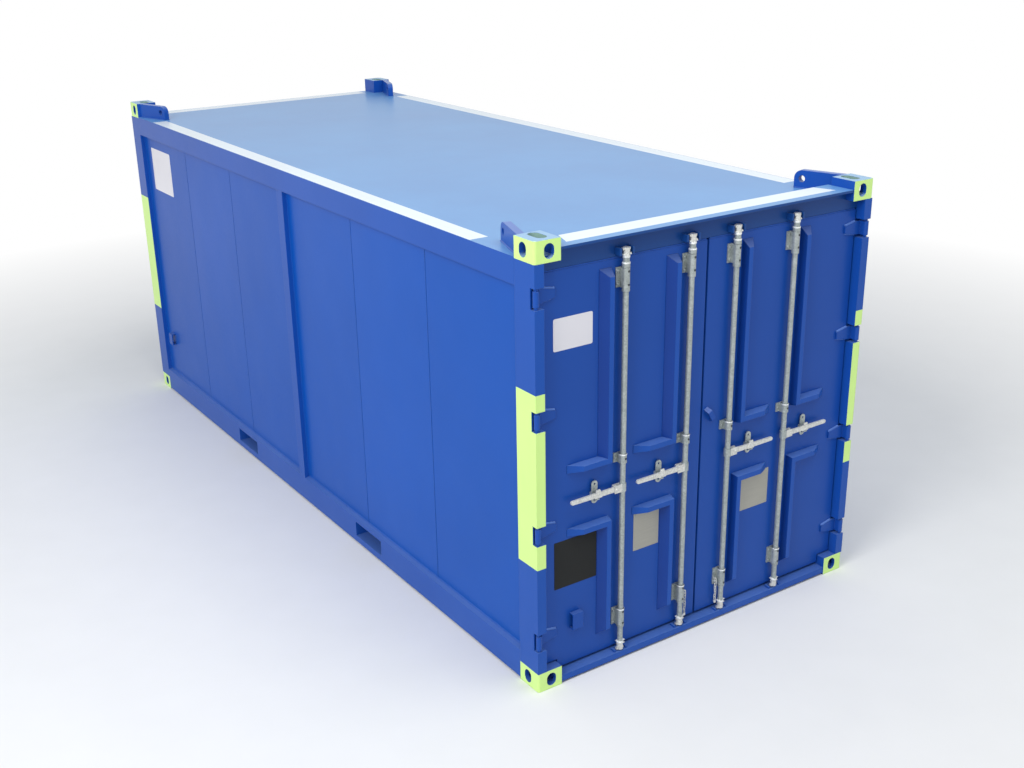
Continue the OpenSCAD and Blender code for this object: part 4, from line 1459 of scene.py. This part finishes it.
@dataclass
class LockGear:
    """One lock rod with its handle, the collars and bolts of its bearings, and its pins."""

    finishes: Finishes
    index: int
    rod_y: float = -3.006
    rod_r: float = 0.016
    sleeve_r: float = 0.0213
    # Middle height and length of each sleeve.
    bearings: tuple[Pair, ...] = ((0.275, 0.108), (1.276, 0.055), (2.304, 0.108))
    long_sleeve: float = 0.08
    slack: float = 0.0005
    rim_in: float = 0.0022
    rim_out: float = 0.0012
    rim_h: float = 0.008
    rim_round: float = 0.0008
    long_end: float = 0.028
    end_out: float = 0.0006
    end_gap: float = 0.002
    foot_slack: float = 0.0012
    bolt_x: float = 0.034
    bolt_size: Pair = (0.013, 0.007)
    screw_turn: float = 0.12
    screw_size: Pair = (0.0065, 0.003)
    cam_collar_z: Pair = (0.101, 2.4125)
    cam_collar: Pair = (0.0045, 0.012)
    cam_collar_round: float = 0.0012
    cam_plate: Point = (0.027, 0.012, 0.0045)
    cam_plate_z: Pair = (0.1125, 2.4275)
    cam_plate_round: float = 0.001
    cheek_y: float = -3.0213
    pivot_x: float = 0.050
    pivot_r: float = 0.008
    flap_x: float = 0.182
    flap_y: float = -3.0210
    flap_r: float = 0.0045
    flap_rises: Pair = (-0.004, 0.024)
    chain_x: float = 0.041

    @property
    def x(self) -> float:
        """Place of the rod across the box."""
        return BOX.rods[self.index]

    @property
    def side(self) -> int:
        """Side that the handle points to."""
        return -1 if self.index < 2 else 1

    @property
    def door(self) -> Body:
        """Body of the door that carries the rod."""
        return Body.LEFT_DOOR if self.index < 2 else Body.RIGHT_DOOR

    def named(self, title: str) -> str:
        """Name of one of this rod's pieces or nodes."""
        return f"{title}_{self.index + 1}"

    def on_axis(self, z: float) -> Point:
        """Point on the rod's axis."""
        return (self.x, self.rod_y, z)

    def collars(
        self, title: str, ends: tuple[float, ...], radii: Pair, height: float, soft: float
    ) -> MeshMaker:
        """Start a piece with a ring round the rod at each of some heights.

        Args:
            title: the piece's name, without the rod's number.
            ends: the height of each ring's lower face.
            radii: their inner and outer radius.
            height: their height.
            soft: the width of their softened rims.

        Returns:
            The piece, not finished yet.
        """
        maker = MeshMaker(self.named(title))
        for z in ends:
            maker.ring(self.on_axis(z), *radii, height, soft)
        return maker

    def bearing_rims(self) -> None:
        """Add the collars at both ends of the lower sleeves, of which the upper ones are painted pale as a
        highlight.
        """
        f = self.finishes
        radii = (self.sleeve_r - self.rim_in, self.sleeve_r + self.rim_out)
        for end, title, material in ((1, "bearing_rims", f.lit_zinc), (-1, "bearing_feet", f.zinc)):
            rise = self.rim_h / 2
            ends = tuple(z + end * (height / 2 - rise) - rise for z, height in self.bearings[:-1])
            rims = self.collars(title, ends, radii, self.rim_h, self.rim_round)
            rims.finish(material, self.door, Slot.ZINC)

    def high_bearing_ends(self) -> None:
        """Add the highest bearing's long ends: one on the door below it, one on the rod above it."""
        f, rod = self.finishes, self.named("lock_rod")
        z, height = self.bearings[-1]
        wide = self.sleeve_r + self.end_out
        base = z - height / 2 - self.long_end + self.rim_h
        radii = (self.rod_r + self.foot_slack, wide)
        foot = self.collars("long_foot", (base,), radii, self.long_end, self.foot_slack)
        foot.finish(f.zinc, self.door, Slot.ZINC)
        base = z + height / 2 + self.end_gap
        head_h = self.long_end - self.rim_h
        inner = self.rod_r + self.slack
        head = self.collars("long_head", (base,), (inner, wide), head_h, self.rim_round)
        head.finish(f.zinc, rod, Slot.ZINC)
        radii = (inner, self.sleeve_r + self.rim_out)
        rim = self.collars("long_rim", (base + head_h,), radii, self.rim_h, self.rim_round)
        # The rim on top is painted pale, as a highlight.
        rim.finish(f.lit_zinc, rod, Slot.ZINC)

    def bearing_bolts(self) -> None:
        """Add the bolts of the foot plates and the dark screws of each sleeve."""
        bolts = MeshMaker(self.named("bearing_bolts"))
        screws = MeshMaker(self.named("sleeve_screws"))
        out = Vector((math.sin(self.screw_turn), -math.cos(self.screw_turn), 0.0))
        radius, stand = self.screw_size
        for z, height in self.bearings:
            rows = (-height / 3, height / 3) if height > self.long_sleeve else (0.0,)
            for row in rows:
                for across in (-self.bolt_x, self.bolt_x):
                    bolts.bolt((self.x + across, BOX.foot_y, z + row), FRONT, *self.bolt_size)
                seat = Vector(self.on_axis(z + row)) + out * (self.sleeve_r - self.slack)
                screws.rod(seat, seat + out * stand, radius, sides=12, bevel=self.rim_round)
        bolts.finish(self.finishes.zinc, self.door, Slot.ZINC)
        screws.finish(self.finishes.dark_steel, self.door, Slot.ZINC)

    def cam_welds(self) -> None:
        """Add the collars that join the cams to the rod, and the narrow plate beside each."""
        out, height = self.cam_collar
        radii = (self.rod_r + self.slack, self.rod_r + out)
        welds = self.collars("cam_welds", self.cam_collar_z, radii, height, self.cam_collar_round)
        wide, deep, thick = self.cam_plate
        for z in self.cam_plate_z:
            low = (self.x - wide, self.rod_y - deep, z)
            welds.block(low, (self.x + wide, self.rod_y + deep, z + thick), self.cam_plate_round)
        # The collars and plates are painted pale, as highlights.
        welds.finish(self.finishes.lit_zinc, self.named("lock_rod"), Slot.ZINC)

    def pins(self) -> None:
        """Add the heads of the handle's pivot pin and of the rivets in its flap."""
        material = self.finishes.bright_zinc
        head = MeshMaker(self.named("pivot_head"))
        head.rivet((self.x + self.side * self.pivot_x, self.cheek_y, BOX.handle_z), FRONT, self.pivot_r)
        head.finish(material, self.named("lock_rod"), Slot.ZINC)
        flap = MeshMaker(self.named("flap_rivets"))
        x = self.x + self.side * self.flap_x
        for rise in self.flap_rises:
            flap.rivet((x, self.flap_y, BOX.handle_z + rise), FRONT, self.flap_r)
        flap.finish(material, self.named("lock_handle"), Slot.ZINC)

    def build(self) -> None:
        """Dress the rod and its handle and add their small pieces."""
        dress(self.finishes.rod_zinc, self.named("lock_rod"))
        dress(self.finishes.bright_zinc, self.named("lock_handle"))
        self.bearing_rims()
        self.high_bearing_ends()
        self.bearing_bolts()
        self.cam_welds()
        self.pins()
        if self.index in (1, 2):
            chain = SealChain(self.named("seal_chain"), self.x - self.side * self.chain_x)
            chain.build(self.finishes.bright_zinc, self.door)


@dataclass(frozen=True)
class Lamp:
    """A soft square lamp that looks at the container."""

    title: str
    place: Point
    power: float
    size: float = 6.0
    colour: Colour = (1.0, 1.0, 1.0)
    aim: Point = (0.0, 0.0, 1.2)

    def build(self) -> None:
        """Set the lamp up."""
        data = bpy.data.lights.new(self.title, "AREA")
        data.shape = "SQUARE"
        data.size = self.size
        data.energy = self.power
        data.color = self.colour
        lamp = bpy.data.objects.new(self.title, data)
        lamp.matrix_world = aimed(Vector(self.place), Vector(self.aim) - Vector(self.place), "-Z")
        bpy.context.scene.collection.objects.link(lamp)


@dataclass
class Studio:
    """Camera, floor, lamps and background."""

    eye: Point = (-4.6081, -7.8812, 4.1209)
    yaw: float = 0.5896
    pitch: float = 0.3656
    roll: float = -0.0172
    focal_px: float = 1251.0
    image_w: float = 1024.0
    sensor: float = 36.0
    sight: float = 200.0
    sky: float = 0.62
    sky_colour: Colour = (0.90, 0.95, 1.0)
    floor_colours: tuple[Colour, Colour] = ((0.80, 0.80, 0.80), (0.84, 0.84, 0.84))
    floor_half: float = 60.0
    floor_z: float = -0.001
    fade: Pair = (4.2, 9.0)
    lamps: tuple[Lamp, ...] = (
        Lamp("key", (-10.0, -5.0, 8.0), 780.0, colour=(1.0, 0.99, 0.97)),
        Lamp("top", (0.0, -5.0, 10.0), 330.0),
    )

    def camera(self) -> None:
        """Place the camera where the photograph was taken from."""
        data = bpy.data.cameras.new("camera")
        data.sensor_width = self.sensor
        data.lens = self.focal_px * self.sensor / self.image_w
        data.clip_end = self.sight
        look = Vector((
            math.sin(self.yaw) * math.cos(self.pitch),
            math.cos(self.yaw) * math.cos(self.pitch),
            -math.sin(self.pitch),
        ))
        level = look.cross(UP).normalized()
        rise = level.cross(look)
        right = level * math.cos(self.roll) + rise * math.sin(self.roll)
        up = rise * math.cos(self.roll) - level * math.sin(self.roll)
        turn = Matrix((right, up, -look)).transposed().to_4x4()
        camera = bpy.data.objects.new("camera", data)
        camera.matrix_world = Matrix.Translation(self.eye) @ turn
        bpy.context.scene.collection.objects.link(camera)
        bpy.context.scene.camera = camera

    def seen(self, nodes: NodeTree) -> Socket:
        """Mask of the rays that show the background: the camera's, reflected and refracted ones.

        Args:
            nodes: the tree that it is built in.

        Returns:
            The mask's socket.
        """
        path = nodes.add("ShaderNodeLightPath").outputs
        bent = nodes.either(path["Is Glossy Ray"], path["Is Transmission Ray"])
        return nodes.either(path["Is Camera Ray"], bent)

    def world(self) -> None:
        """Give a pale sky that the camera and reflections see as white."""
        world = bpy.data.worlds.new("pale")
        bpy.context.scene.world = world
        world.use_nodes = True
        world.node_tree.nodes.clear()
        n = NodeTree(world.node_tree)
        light = n.fill(n.add("ShaderNodeBackground"), Color=self.sky_colour, Strength=self.sky)
        white = n.fill(n.add("ShaderNodeBackground"), Color=(1.0, 1.0, 1.0), Strength=1.0)
        n.fill(n.add("ShaderNodeOutputWorld"), Surface=n.blend(self.seen(n), light, white))

    def floor(self) -> None:
        """Lay a pale floor that keeps the container's shadow and fades into the background."""
        bm = bmesh.new()
        bmesh.ops.create_grid(bm, x_segments=1, y_segments=1, size=self.floor_half)
        data = bpy.data.meshes.new("studio_floor")
        bm.to_mesh(data)
        bm.free()
        floor = bpy.data.objects.new("studio_floor", data)
        floor.location = (0.0, 0.0, self.floor_z)
        bpy.context.scene.collection.objects.link(floor)
        sheet = MaterialSheet("studio_floor")
        n = sheet.nodes
        place = n.where()
        tone = n.mix(n.noise(place, scale=3.0, detail=4.0), *self.floor_colours)
        sheet.feed(Base_Color=tone, Roughness=0.9, Specular_IOR_Level=0.1)
        reach = n.add("ShaderNodeVectorMath", operation="LENGTH")
        n.feed(reach.inputs[0], place)
        far = n.times(n.span(reach.outputs["Value"], *self.fade), self.seen(n))
        n.fill(sheet.output, Surface=n.blend(far, sheet.shader, n.add("ShaderNodeEmission")))
        data.materials.append(sheet.material)

    def build(self) -> None:
        """Set up the whole studio."""
        self.camera()
        self.world()
        self.floor()
        for lamp in self.lamps:
            lamp.build()
        bpy.context.scene.view_settings.view_transform = "Standard"
        LOG.info("studio ready")


def main() -> None:
    """Build every sub-assembly in order."""
    logging.basicConfig(level=logging.INFO, format="%(message)s")
    Studio().build()
    finishes = Finishes(ShaderKit())
    BoxFrame(finishes).build()
    Walls(finishes).build()
    for side in (-1, 1):
        Door(finishes, side).build()
    for index in range(len(BOX.rods)):
        LockGear(finishes, index).build()


if __name__ == "__main__":
    main()
